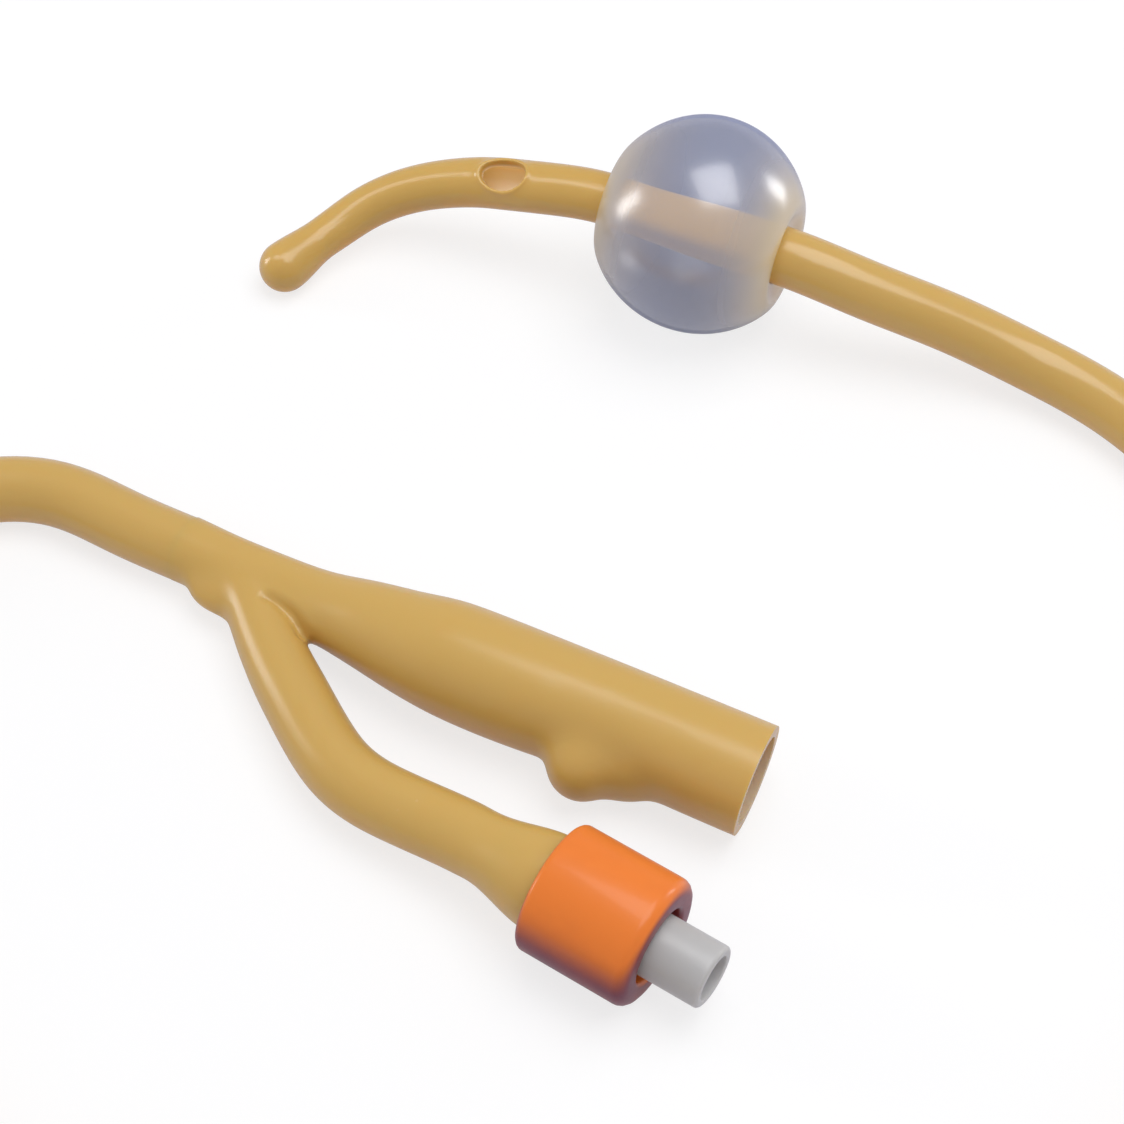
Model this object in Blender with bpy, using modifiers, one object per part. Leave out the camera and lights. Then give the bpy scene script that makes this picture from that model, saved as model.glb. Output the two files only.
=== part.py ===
"""Two-way balloon catheter, 16 Fr, with a curved olive tip and a sprung inflation valve.

It lies on a table as it comes to rest: the inflated balloon props the tip end up, the olive
and the valve end touch the table, and the shaft runs round in one loose loop.
+X runs along the drainage funnel, out of its mouth. +Z is up, and Z = 0 is the table.
"""

import math

import bmesh
import bpy
import numpy as np
from mathutils import Matrix, Vector

# Gap between pieces that touch
GAP = 0.0003
# How far a cutter reaches past the face that it cuts
CUTTER_SPARE = 0.001

# Shaft: two lumens in one latex tube, a little thicker towards the funnel
SHAFT_TIP_RADIUS = 0.00276
SHAFT_FUNNEL_RADIUS = 0.00302
DRAIN_LUMEN_RADIUS = 0.00145
DRAIN_LUMEN_OFFSET = 0.00035
INFLATION_LUMEN_RADIUS = 0.00035
INFLATION_LUMEN_OFFSET = 0.00215
SHAFT_STEP = 0.0052

# Tip: olive, neck and the eye that urine enters by
OLIVE_RADIUS = 0.00247
NECK_RADIUS = 0.0020
TIP_RADIUS = 0.00249
NECK_AT = 0.0072
TAPER_END = 0.0270
TIP_LUMEN_RADIUS = 0.0016
TIP_LUMEN_START = 0.0175
TIP_STEP = 0.0016
EYE_AT = 0.0277
EYE_LENGTH = 0.0047
EYE_WIDTH = 0.0033
EYE_TURN = math.radians(-18)
TIP_IN_BALLOON = 0.0031

# Balloon: a thin sleeve blown up with 5 ml, bonded round the tube at both ends
BALLOON_HALF_LENGTH = 0.01015
BALLOON_RADIUS = 0.0103
BALLOON_WALL = 0.00035
BALLOON_DIMPLE = 0.0016
BALLOON_DIMPLE_REACH = 0.0015
BALLOON_SIDE = 0.0007
BALLOON_HEADING = math.radians(2.4)
BALLOON_AT = Vector((0.0032, 0.0313, BALLOON_RADIUS))

# Forked funnel: outer radii
FUNNEL_RADIUS = 0.0052
FUNNEL_MOUTH_RADIUS = 0.0050
FUNNEL_MOUTH_X = 0.0314
FUNNEL_STRAIGHT_X = 0.0180
FUNNEL_Y = -0.01855
FUNNEL_WALL = 0.0015
FUNNEL_MOUTH_WALL = 0.0010
FUNNEL_BORE_THROAT = 0.0021
ARM_ROOT_RADIUS = 0.0027
ARM_RADIUS = 0.00312
ARM_GROWTH_LENGTH = 0.0150
ARM_BORE_RADIUS = 0.0016
LOBES = [
    (0.0173, 0.0042, (0.0030, 0.0038, 0.0040)),
    (0.0198, 0.0037, (0.0048, 0.0030, 0.0036)),
]
WEB_AT = Vector((-0.0201, -0.0200, 0.0032))
WEB_SIZE = (0.0034, 0.0025, 0.0026)

# Inflation valve: everything lies on one axis, from the collar's back face outwards
VALVE_AT = Vector((0.02045, -0.03543, 0.00585))
VALVE_HEADING = math.radians(-7)
COLLAR_RADIUS = 0.00585
COLLAR_LENGTH = 0.0105
COLLAR_LIP = 0.0016
COLLAR_MOUTH_RADIUS = 0.0034
COLLAR_ROUND = 0.0010
ARM_END_RADIUS = 0.0044
FLANGE_RADIUS = 0.0043
FLANGE_THICKNESS = 0.0014
STEM_RADIUS = 0.00283
STEM_OUT = 0.00515
LUER_RADIUS = 0.0020
LUER_DEPTH = 0.0068
LUER_TAPER = 0.03
VALVE_WEB = 0.0006
VALVE_HOLE_RADIUS = 0.0010
TAIL_RADIUS = 0.0024
TAIL_LENGTH = 0.0095
TAIL_WALL = 0.0006
BARB_HEIGHT = 0.0004
BARB_LENGTH = 0.0018
BARB_COUNT = 3
PLUG_THICKNESS = 0.0008
PLUG_SPIGOT = 0.0012
PLUG_HOLE_RADIUS = 0.0005
PLUNGER_STEM_RADIUS = 0.0007
PLUNGER_STANDS = 0.0030
PLUNGER_DISC_RADIUS = 0.00145
PLUNGER_DISC_THICKNESS = 0.0006
PLUNGER_PIN_RADIUS = 0.0006
PLUNGER_PIN_LENGTH = 0.0016
PLUNGER_VANE = 0.0004
VALVE_FIT = 0.00015
SEAL_THICKNESS = 0.0006
SPRING_WIRE_RADIUS = 0.00015
SPRING_RADIUS = 0.0011
SPRING_TURNS = 5

# Routes, from hand-placed points that a smooth curve passes through
TIP_ROUTE = [
    (-0.0342, 0.0135, 0.0025),
    (-0.0333, 0.0161, 0.0025),
    (-0.0322, 0.0190, 0.0028),
    (-0.0308, 0.0219, 0.0033),
    (-0.0291, 0.0245, 0.0042),
    (-0.0268, 0.0265, 0.0053),
    (-0.0242, 0.0278, 0.0064),
    (-0.0214, 0.0287, 0.0074),
    (-0.0184, 0.0293, 0.00835),
    (-0.0153, 0.0297, 0.0091),
    (-0.0120, 0.0301, 0.0098),
]
SHAFT_ROUTE = [
    (0.0201, 0.0326, 0.00875),
    (0.0278, 0.0343, 0.0063),
    (0.0357, 0.03525, 0.0039),
    (0.0392, 0.0351, 0.0034),
    (0.0466, 0.0334, 0.00305),
    (0.0613, 0.0228, 0.00305),
    (0.0682, 0.0118, 0.00305),
    (0.0725, -0.0006, 0.00305),
    (0.0746, -0.0119, 0.00305),
    (0.0752, -0.0211, 0.00305),
    (0.0748, -0.0317, 0.00305),
    (0.0709, -0.0447, 0.00305),
    (0.0643, -0.0545, 0.00305),
    (0.0526, -0.0635, 0.00305),
    (0.0439, -0.0674, 0.00305),
    (0.0313, -0.0712, 0.00305),
    (0.0217, -0.0733, 0.00305),
    (0.0151, -0.0747, 0.00305),
    (0.0035, -0.0766, 0.00305),
    (-0.0118, -0.0768, 0.00305),
    (-0.0266, -0.0711, 0.00305),
    (-0.0351, -0.0641, 0.00305),
    (-0.0423, -0.0557, 0.00305),
    (-0.0476, -0.0470, 0.00305),
    (-0.0510, -0.0368, 0.00305),
    (-0.0479, -0.0233, 0.00305),
    (-0.0386, -0.0175, 0.00305),
    (-0.0315, -0.01755, 0.00305),
]
SHAFT_END = (-0.0244, -0.01768, 0.00305)

# Forked body: route points with the outer radius there, then straight to the mouth
FORK_ROUTE = [
    (-0.0218, -0.0178, 0.0031, 0.00305),
    (-0.0181, -0.01795, 0.0032, 0.00310),
    (-0.0150, -0.01805, 0.0034, 0.00312),
    (-0.0097, -0.0184, 0.0041, 0.00336),
    (-0.0075, -0.0185, 0.0044, 0.00368),
    (-0.00435, -0.0187, 0.0048, 0.00416),
    (-0.0012, -0.01885, 0.0050, 0.00464),
    (0.00185, -0.0189, 0.0052, 0.00505),
    (0.0048, -0.0189, 0.0052, FUNNEL_RADIUS),
    (0.0110, -0.0188, 0.0052, 0.00518),
]
ARM_ROUTE = [
    (-0.0196, -0.0182, 0.0032),
    (-0.0170, -0.0199, 0.0033),
    (-0.0146, -0.0220, 0.0033),
    (-0.0125, -0.0239, 0.0033),
    (-0.01035, -0.0257, 0.0033),
    (-0.00805, -0.0275, 0.0034),
    (-0.0057, -0.0293, 0.0035),
    (-0.0036, -0.0308, 0.0036),
    (-0.0011, -0.03225, 0.0038),
    (0.0019, -0.0332, 0.0040),
    (0.0050, -0.0336, 0.0043),
    (0.00805, -0.03385, 0.0047),
    (0.0111, -0.0341, 0.0051),
]
ARM_STEP = 0.0022
ARM_FLARE_LENGTH = 0.0070


def new_collection(name):
    collection = bpy.data.collections.new(name)
    bpy.context.scene.collection.children.link(collection)
    return collection


def material(name, color, roughness, metallic=0.0, alpha=1.0):
    mat = bpy.data.materials.new(name)
    mat.use_nodes = True
    shader = mat.node_tree.nodes["Principled BSDF"]
    shader.inputs["Base Color"].default_value = (*color, 1.0)
    shader.inputs["Roughness"].default_value = roughness
    shader.inputs["Metallic"].default_value = metallic
    shader.inputs["Alpha"].default_value = alpha
    mat.diffuse_color = (*color, alpha)
    return mat


def add(mesh, name, collection, mat=None):
    obj = bpy.data.objects.new(name, mesh)
    collection.objects.link(obj)
    if mat:
        obj.data.materials.append(mat)
    return obj


def smooth_route(points, step):
    """Points about one step apart on the natural cubic spline through the given points."""
    p = np.array([tuple(q) for q in points], float)
    u = np.concatenate([[0.0], np.cumsum(np.linalg.norm(np.diff(p, axis=0), axis=1))])
    h = np.diff(u)
    n = len(p)
    system = np.eye(n)
    slopes = np.zeros_like(p)
    for i in range(1, n - 1):
        system[i, i - 1 : i + 2] = (h[i - 1], 2 * (h[i - 1] + h[i]), h[i])
        slopes[i] = 6 * ((p[i + 1] - p[i]) / h[i] - (p[i] - p[i - 1]) / h[i - 1])
    bend = np.linalg.solve(system, slopes)
    count = max(2, round(u[-1] / step) + 1)
    out = []
    for at in np.linspace(0.0, u[-1], count):
        i = min(int(np.searchsorted(u, at, side="right")) - 1, n - 2)
        a = (u[i + 1] - at) / h[i]
        b = (at - u[i]) / h[i]
        point = a * p[i] + b * p[i + 1]
        point += ((a**3 - a) * bend[i] + (b**3 - b) * bend[i + 1]) * h[i] ** 2 / 6
        out.append(Vector(point))
    return out


def distances(points):
    total = [0.0]
    for a, b in zip(points, points[1:]):
        total.append(total[-1] + (b - a).length)
    return total


def tube_mesh(points, radii, resolution):
    """A closed tube with its own radius at every point and 4 + 2 * resolution sides."""
    widest = max(radii)
    curve = bpy.data.curves.new("tube", "CURVE")
    curve.dimensions = "3D"
    curve.bevel_depth = widest
    curve.bevel_resolution = resolution
    curve.use_fill_caps = True
    spline = curve.splines.new("POLY")
    spline.points.add(len(points) - 1)
    for point, place, radius in zip(spline.points, points, radii):
        point.co = (*place, 1.0)
        point.radius = radius / widest
    holder = bpy.data.objects.new("tube", curve)
    bpy.context.scene.collection.objects.link(holder)
    graph = bpy.context.evaluated_depsgraph_get()
    mesh = bpy.data.meshes.new_from_object(holder.evaluated_get(graph))
    bpy.data.objects.remove(holder)
    bpy.data.curves.remove(curve)
    b = bmesh.new()
    b.from_mesh(mesh)
    bmesh.ops.remove_doubles(b, verts=b.verts, dist=1e-6)
    bmesh.ops.recalc_face_normals(b, faces=b.faces)
    b.to_mesh(mesh)
    b.free()
    mesh.materials.clear()
    return mesh


def turned(name, profile, steps, collection, mat=None):
    """A Screw modifier turns the closed outline (radius, height) round its own Z."""
    mesh = bpy.data.meshes.new(name)
    verts = [(radius, 0.0, height) for radius, height in profile]
    edges = [(i, (i + 1) % len(verts)) for i in range(len(verts))]
    if profile[0][0] == 0.0 and profile[-1][0] == 0.0:
        edges.pop()
    mesh.from_pydata(verts, edges, [])
    obj = add(mesh, name, collection, mat)
    screw = obj.modifiers.new("turn", "SCREW")
    screw.axis = "Z"
    screw.angle = math.tau
    screw.steps = steps
    screw.render_steps = steps
    screw.use_merge_vertices = True
    screw.merge_threshold = 1e-6
    screw.use_smooth_shade = True
    return obj


def ellipsoid(name, at, size, collection, segments=20, rings=12):
    b = bmesh.new()
    bmesh.ops.create_uvsphere(b, u_segments=segments, v_segments=rings, radius=1.0)
    bmesh.ops.transform(b, matrix=Matrix.Diagonal((*size, 1.0)), verts=b.verts)
    mesh = bpy.data.meshes.new(name)
    b.to_mesh(mesh)
    b.free()
    obj = add(mesh, name, collection)
    obj.location = at
    return obj


def hide_tool(obj):
    obj.hide_render = True
    obj.display_type = "WIRE"


def combine(obj, tool, operation):
    boolean = obj.modifiers.new(tool.name, "BOOLEAN")
    boolean.operation = operation
    boolean.solver = "EXACT"
    boolean.object = tool
    hide_tool(tool)


def smooth_shading(obj, degrees=35):
    obj.data.shade_smooth()
    obj.data.set_sharp_from_angle(angle=math.radians(degrees))


def balloon_point(along):
    """A point on the balloon's own axis, measured from its centre towards the shaft."""
    heading = Vector((math.cos(BALLOON_HEADING), math.sin(BALLOON_HEADING), 0.0))
    return BALLOON_AT + heading * along


def blend(value, low, high):
    """0 before low, 1 after high, and an even ease between them."""
    t = min(max((value - low) / (high - low), 0.0), 1.0)
    return t * t * (3 - 2 * t)


def tip_radius(at):
    """Outer radius of the tip at a distance from the end of the olive."""
    if at < OLIVE_RADIUS:
        return math.sqrt(max(OLIVE_RADIUS**2 - (OLIVE_RADIUS - at) ** 2, 0.0))
    if at < NECK_AT:
        return OLIVE_RADIUS + (NECK_RADIUS - OLIVE_RADIUS) * blend(at, OLIVE_RADIUS, NECK_AT)
    share = min((at - NECK_AT) / (TAPER_END - NECK_AT), 1.0)
    return NECK_RADIUS + (TIP_RADIUS - NECK_RADIUS) * share


def tip_places():
    """The tip's route, closely spaced over the round end of the olive."""
    butt = -BALLOON_HALF_LENGTH + TIP_IN_BALLOON
    route = [Vector(p) for p in TIP_ROUTE]
    route += [balloon_point(-BALLOON_HALF_LENGTH), balloon_point(butt)]
    fine = smooth_route(route, TIP_STEP / 8)
    along = distances(fine)
    wanted = [OLIVE_RADIUS * (1 - math.cos(math.radians(a))) for a in (8, 25, 42, 58, 74, 90)]
    while wanted[-1] + TIP_STEP * 1.4 < along[-1]:
        wanted.append(wanted[-1] + TIP_STEP)
    wanted.append(along[-1])
    places = []
    for at in wanted:
        i = int(np.searchsorted(along, at))
        places.append(fine[min(i, len(fine) - 1)])
    return places, wanted, fine, along


def make_tip(parts, cutters, mat):
    places, at, fine, along = tip_places()
    tip = add(tube_mesh(places, [tip_radius(a) for a in at], 8), "coude_tip", parts, mat)
    inside = [p for p, a in zip(fine, along) if a > TIP_LUMEN_START][::10] + [fine[-1]]
    inside.append(fine[-1] + (fine[-1] - fine[-8]).normalized() * 0.002)
    lumen = add(
        tube_mesh(inside, [TIP_LUMEN_RADIUS] * len(inside), 4), "tip_lumen_cutter", cutters
    )
    i = int(np.searchsorted(along, EYE_AT))
    forward = (fine[i + 4] - fine[i - 4]).normalized()
    up = Vector((0, 0, 1))
    side = forward.cross(up).normalized()
    up = side.cross(forward).normalized()
    outward = (up * math.cos(EYE_TURN) - side * math.sin(EYE_TURN)).normalized()
    size = (EYE_LENGTH / 2, EYE_WIDTH / 2, TIP_RADIUS)
    eye = ellipsoid("eye_cutter", (0, 0, 0), size, cutters)
    turn = Matrix((forward, outward.cross(forward), outward)).transposed().to_4x4()
    eye.matrix_world = Matrix.Translation(fine[i] + outward * TIP_RADIUS) @ turn
    combine(tip, lumen, "DIFFERENCE")
    combine(tip, eye, "DIFFERENCE")
    smooth_shading(tip)
    return tip


def shaft_places():
    butt = -BALLOON_HALF_LENGTH + TIP_IN_BALLOON + GAP
    route = [balloon_point(butt), balloon_point(0.0), balloon_point(BALLOON_HALF_LENGTH)]
    route += [Vector(p) for p in SHAFT_ROUTE]
    route.append(Vector(SHAFT_END))
    return smooth_route(route, SHAFT_STEP)


def sideways(points, offset):
    """The points moved level to the right of the way they run, with longer ends."""
    moved = []
    for i, point in enumerate(points):
        ahead = points[min(i + 1, len(points) - 1)] - points[max(i - 1, 0)]
        right = Vector((ahead.y, -ahead.x, 0.0)).normalized()
        moved.append(point + right * offset)
    start = (moved[0] - moved[1]).normalized() * CUTTER_SPARE
    end = (moved[-1] - moved[-2]).normalized() * CUTTER_SPARE
    return [moved[0] + start] + moved[1:-1] + [moved[-1] + end]


def make_shaft(parts, cutters, mat):
    places = shaft_places()
    along = distances(places)
    radii = []
    for at in along:
        grown = SHAFT_TIP_RADIUS + (SHAFT_FUNNEL_RADIUS - SHAFT_TIP_RADIUS) * at / along[-1]
        start = blend(at, 0.0, BALLOON_HALF_LENGTH)
        radii.append(TIP_RADIUS + (grown - TIP_RADIUS) * start)
    shaft = add(tube_mesh(places, radii, 4), "shaft", parts, mat)
    drain = sideways(places, -DRAIN_LUMEN_OFFSET)
    fill = sideways(places, INFLATION_LUMEN_OFFSET)
    drain_mesh = tube_mesh(drain, [DRAIN_LUMEN_RADIUS] * len(drain), 2)
    fill_mesh = tube_mesh(fill, [INFLATION_LUMEN_RADIUS] * len(fill), 1)
    combine(shaft, add(drain_mesh, "drain_lumen_cutter", cutters), "DIFFERENCE")
    combine(shaft, add(fill_mesh, "inflation_lumen_cutter", cutters), "DIFFERENCE")
    smooth_shading(shaft)
    return shaft


def make_balloon(parts, mat):
    """The blown sleeve, as rings along its outside and back along its inside.

    Its ends are drawn in round the tube, and it bulges a little to one side of it.
    """
    hole = SHAFT_TIP_RADIUS + GAP

    def face(half_length, radius, sign):
        edge = math.asin(hole / radius)
        count = 16
        out = []
        for i in range(count + 1):
            angle = edge + (math.pi - 2 * edge) * i / count
            at = radius * math.sin(angle)
            drawn_in = BALLOON_DIMPLE * math.exp(-(((at - hole) / BALLOON_DIMPLE_REACH) ** 2))
            height = half_length * math.cos(angle)
            out.append((at, sign * (height - math.copysign(drawn_in, height))))
        return out

    outline = face(BALLOON_HALF_LENGTH, BALLOON_RADIUS, 1)
    outline += face(BALLOON_HALF_LENGTH - BALLOON_WALL, BALLOON_RADIUS - BALLOON_WALL, -1)
    sides = 32
    verts, faces = [], []
    for i, (radius, height) in enumerate(outline):
        aside = BALLOON_SIDE * (radius - hole) / (BALLOON_RADIUS - hole)
        ring = i * sides
        following = (i + 1) % len(outline) * sides
        for k in range(sides):
            angle = math.tau * k / sides
            verts.append((radius * math.cos(angle), radius * math.sin(angle) + aside, height))
            m = (k + 1) % sides
            faces.append((ring + k, following + k, following + m, ring + m))
    mesh = bpy.data.meshes.new("balloon")
    mesh.from_pydata(verts, [], faces)
    balloon = add(mesh, "balloon", parts, mat)
    smooth_shading(balloon)
    turn = Matrix.Rotation(BALLOON_HEADING, 4, "Z") @ Matrix.Rotation(math.pi / 2, 4, "Y")
    balloon.matrix_world = Matrix.Translation(BALLOON_AT) @ turn
    return balloon


def valve_point(along, side=0.0):
    """A point on the valve's axis, measured from the collar's back face outwards."""
    heading = Vector((math.cos(VALVE_HEADING), math.sin(VALVE_HEADING), 0.0))
    across = Vector((-math.sin(VALVE_HEADING), math.cos(VALVE_HEADING), 0.0))
    return VALVE_AT + heading * along + across * side


FLANGE_FRONT = COLLAR_LENGTH - COLLAR_LIP - GAP
FLANGE_BACK = FLANGE_FRONT - FLANGE_THICKNESS
ARM_END = FLANGE_BACK - GAP
TAIL_END = FLANGE_BACK - TAIL_LENGTH
STEM_END = COLLAR_LENGTH + STEM_OUT
LUER_BOTTOM = STEM_END - LUER_DEPTH
WEB_UNDERSIDE = LUER_BOTTOM - VALVE_WEB
SEAL_TOP = WEB_UNDERSIDE - VALVE_FIT
SEAL_BOTTOM = SEAL_TOP - SEAL_THICKNESS
DISC_TOP = SEAL_BOTTOM - VALVE_FIT
DISC_BOTTOM = DISC_TOP - PLUNGER_DISC_THICKNESS
CAVITY_RADIUS = TAIL_RADIUS - TAIL_WALL
PLUG_FACE = TAIL_END + PLUG_SPIGOT


def make_funnel(parts, cutters, mat):
    """The forked latex body: funnel, side arm, web and lobe, joined and then bored out."""
    start = Vector(SHAFT_END)
    start += (Vector(SHAFT_END) - Vector(SHAFT_ROUTE[-1])).normalized() * GAP
    route = [(*start, SHAFT_FUNNEL_RADIUS)] + FORK_ROUTE
    places = [Vector(p[:3]) for p in route]
    radii = [p[3] for p in route]
    for x in (FUNNEL_STRAIGHT_X, FUNNEL_MOUTH_X):
        places.append(Vector((x, FUNNEL_Y, FUNNEL_RADIUS)))
        radii.append(FUNNEL_MOUTH_RADIUS)
    funnel = add(tube_mesh(places, radii, 10), "funnel", parts, mat)

    arm_route = [Vector(p) for p in ARM_ROUTE]
    arm_route += [valve_point(-0.0050), valve_point(0.0), valve_point(ARM_END)]
    arm = smooth_route(arm_route, ARM_STEP)
    arm_along = distances(arm)
    flare_end = arm_along[-1] - ARM_END
    arm_radii = []
    for at in arm_along:
        grown = blend(at, 0.0, ARM_GROWTH_LENGTH)
        grown = ARM_ROOT_RADIUS + (ARM_RADIUS - ARM_ROOT_RADIUS) * grown
        flare = blend(at, flare_end - ARM_FLARE_LENGTH, flare_end)
        arm_radii.append(grown + (ARM_END_RADIUS - grown) * flare)
    combine(funnel, add(tube_mesh(arm, arm_radii, 8), "arm_former", cutters), "UNION")
    combine(funnel, ellipsoid("web_former", WEB_AT, WEB_SIZE, cutters), "UNION")
    for i, (x, offset, size) in enumerate(LOBES):
        lobe_at = (x, FUNNEL_Y - offset, FUNNEL_RADIUS)
        lobe = ellipsoid(f"lobe_former_{i + 1}", lobe_at, size, cutters)
        combine(funnel, lobe, "UNION")

    bore = [start + (start - places[1]) * 0.5] + places[:4]
    bore_radii = [DRAIN_LUMEN_RADIUS] * 5
    for place, radius in zip(places[4:], radii[4:]):
        bore.append(place)
        bore_radii.append(max(radius - FUNNEL_WALL, FUNNEL_BORE_THROAT))
    bore_radii[-1] = FUNNEL_MOUTH_RADIUS - FUNNEL_MOUTH_WALL
    bore.append(bore[-1] + Vector((0.002, 0, 0)))
    bore_radii.append(FUNNEL_MOUTH_RADIUS - FUNNEL_MOUTH_WALL)
    combine(funnel, add(tube_mesh(bore, bore_radii, 8), "bore_cutter", cutters), "DIFFERENCE")

    tail_room = TAIL_RADIUS + BARB_HEIGHT + GAP
    pocket = TAIL_END - PLUG_THICKNESS - 4 * GAP
    passage = []
    passage_radii = []
    for place, at in zip(arm, arm_along):
        if 0.004 < at < arm_along[-1] - ARM_END + pocket - 0.001:
            passage.append(place)
            passage_radii.append(ARM_BORE_RADIUS)
    passage.insert(0, start + Vector((-0.0005, -INFLATION_LUMEN_OFFSET, 0)))
    passage.insert(1, passage[0] + Vector((0.004, 0.0, 0.0)))
    passage_radii = [INFLATION_LUMEN_RADIUS, INFLATION_LUMEN_RADIUS] + passage_radii
    for along in (pocket, pocket + 0.0012, ARM_END + 0.002):
        passage.append(valve_point(along))
        passage_radii.append(ARM_BORE_RADIUS if along == pocket else tail_room)
    passage_mesh = tube_mesh(passage, passage_radii, 8)
    combine(funnel, add(passage_mesh, "arm_bore_cutter", cutters), "DIFFERENCE")
    smooth_shading(funnel, 40)
    return funnel


def rounded(radius, height, round_radius, sign, count=3):
    """Points of a rounded outer corner, top (+1) or bottom (-1)."""
    points = []
    for i in range(count + 1):
        angle = math.pi / 2 * i / count
        if sign < 0:
            angle = math.pi / 2 - angle
        points.append((
            radius - round_radius * (1 - math.sin(angle)),
            height - sign * round_radius * (1 - math.cos(angle)),
        ))
    return points


def stand_on_valve_axis(obj):
    """Turns a piece that was made upright so that its +Z runs out along the valve."""
    turn = Matrix.Rotation(VALVE_HEADING, 4, "Z") @ Matrix.Rotation(math.pi / 2, 4, "Y")
    obj.matrix_world = Matrix.Translation(VALVE_AT) @ turn


def make_collar(parts, mat):
    bore = ARM_END_RADIUS + GAP
    outline = [(COLLAR_MOUTH_RADIUS, COLLAR_LENGTH)]
    outline += rounded(COLLAR_RADIUS, COLLAR_LENGTH, COLLAR_ROUND, 1)
    outline += rounded(COLLAR_RADIUS, 0.0, COLLAR_ROUND * 0.7, -1)
    outline += [(bore, 0.0), (bore, COLLAR_LENGTH - COLLAR_LIP)]
    outline += [(COLLAR_MOUTH_RADIUS, COLLAR_LENGTH - COLLAR_LIP)]
    collar = turned("size_collar", outline, 32, parts, mat)
    stand_on_valve_axis(collar)


def make_housing(parts, mat):
    """Stem with the Luer socket, flange, and a barbed tail round the spring's room."""
    luer_end = LUER_RADIUS - LUER_DEPTH * LUER_TAPER
    outline = [(LUER_RADIUS, STEM_END)]
    outline += rounded(STEM_RADIUS, STEM_END, 0.0004, 1, 2)
    outline += [(STEM_RADIUS, FLANGE_FRONT), (FLANGE_RADIUS, FLANGE_FRONT)]
    outline += [(FLANGE_RADIUS, FLANGE_BACK), (TAIL_RADIUS, FLANGE_BACK)]
    barbs_at = TAIL_END + BARB_LENGTH * BARB_COUNT
    for _ in range(BARB_COUNT):
        outline += [(TAIL_RADIUS, barbs_at), (TAIL_RADIUS + BARB_HEIGHT, barbs_at)]
        barbs_at -= BARB_LENGTH
    outline += [(TAIL_RADIUS, TAIL_END), (CAVITY_RADIUS, TAIL_END)]
    outline += [(CAVITY_RADIUS, WEB_UNDERSIDE), (VALVE_HOLE_RADIUS, WEB_UNDERSIDE)]
    outline += [(VALVE_HOLE_RADIUS, LUER_BOTTOM), (luer_end, LUER_BOTTOM)]
    housing = turned("valve_housing", outline, 28, parts, mat)
    stand_on_valve_axis(housing)


def make_plunger(parts, cutters, mat):
    """Stem that a syringe pushes, with vanes to let water by, over a disc and a pin."""
    top = LUER_BOTTOM + PLUNGER_STANDS
    outline = [(0.0, top), (PLUNGER_STEM_RADIUS, top), (PLUNGER_STEM_RADIUS, DISC_TOP)]
    outline += [(PLUNGER_DISC_RADIUS, DISC_TOP), (PLUNGER_DISC_RADIUS, DISC_BOTTOM)]
    outline += [(PLUNGER_PIN_RADIUS, DISC_BOTTOM)]
    outline += [(PLUNGER_PIN_RADIUS, DISC_BOTTOM - PLUNGER_PIN_LENGTH)]
    outline += [(0.0, DISC_BOTTOM - PLUNGER_PIN_LENGTH)]
    plunger = turned("valve_plunger", outline, 20, parts, mat)
    vane_length = PLUNGER_STANDS - 2 * GAP
    for i in range(2):
        b = bmesh.new()
        bmesh.ops.create_cube(b, size=1.0)
        size = (2.8 * PLUNGER_STEM_RADIUS, PLUNGER_VANE, vane_length)
        bmesh.ops.transform(b, matrix=Matrix.Diagonal((*size, 1.0)), verts=b.verts)
        mesh = bpy.data.meshes.new("vane")
        b.to_mesh(mesh)
        b.free()
        vane = add(mesh, f"vane_former_{i + 1}", cutters)
        vane.parent = plunger
        vane.location = (0, 0, top - vane_length / 2 + GAP / 3)
        vane.rotation_euler = (0, 0, i * math.pi / 2)
        combine(plunger, vane, "UNION")
    stand_on_valve_axis(plunger)


def make_seal(parts, mat):
    inner = PLUNGER_STEM_RADIUS + VALVE_FIT
    outline = [(inner, SEAL_TOP), (PLUNGER_DISC_RADIUS, SEAL_TOP)]
    outline += [(PLUNGER_DISC_RADIUS, SEAL_BOTTOM), (inner, SEAL_BOTTOM)]
    stand_on_valve_axis(turned("valve_seal", outline, 20, parts, mat))


def make_plug(parts, mat):
    """Pressed plug that closes the tail and carries the spring."""
    spigot = CAVITY_RADIUS - VALVE_FIT
    under = TAIL_END - GAP
    outline = [(PLUG_HOLE_RADIUS, PLUG_FACE), (spigot, PLUG_FACE), (spigot, under)]
    outline += [(TAIL_RADIUS, under), (TAIL_RADIUS, under - PLUG_THICKNESS)]
    outline += [(PLUG_HOLE_RADIUS, under - PLUG_THICKNESS)]
    stand_on_valve_axis(turned("tail_plug", outline, 24, parts, mat))


def make_spring(parts, mat):
    low = PLUG_FACE + SPRING_WIRE_RADIUS + VALVE_FIT
    high = DISC_BOTTOM - SPRING_WIRE_RADIUS - VALVE_FIT
    per_turn = 12
    closed = 1.0
    count = int((SPRING_TURNS + 2 * closed) * per_turn)
    pitch = 2.4 * SPRING_WIRE_RADIUS
    places = []
    for i in range(count + 1):
        turns = i / per_turn
        middle = min(max((turns - closed) / SPRING_TURNS, 0.0), 1.0)
        height = low + pitch * min(turns, closed)
        height += (high - low - 2 * pitch * closed) * middle
        height += pitch * max(turns - closed - SPRING_TURNS, 0.0)
        angle = math.tau * turns
        places.append(Vector((
            SPRING_RADIUS * math.cos(angle), SPRING_RADIUS * math.sin(angle), height
        )))
    mesh = tube_mesh(places, [SPRING_WIRE_RADIUS] * len(places), 1)
    spring = add(mesh, "valve_spring", parts, mat)
    smooth_shading(spring, 60)
    stand_on_valve_axis(spring)


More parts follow.
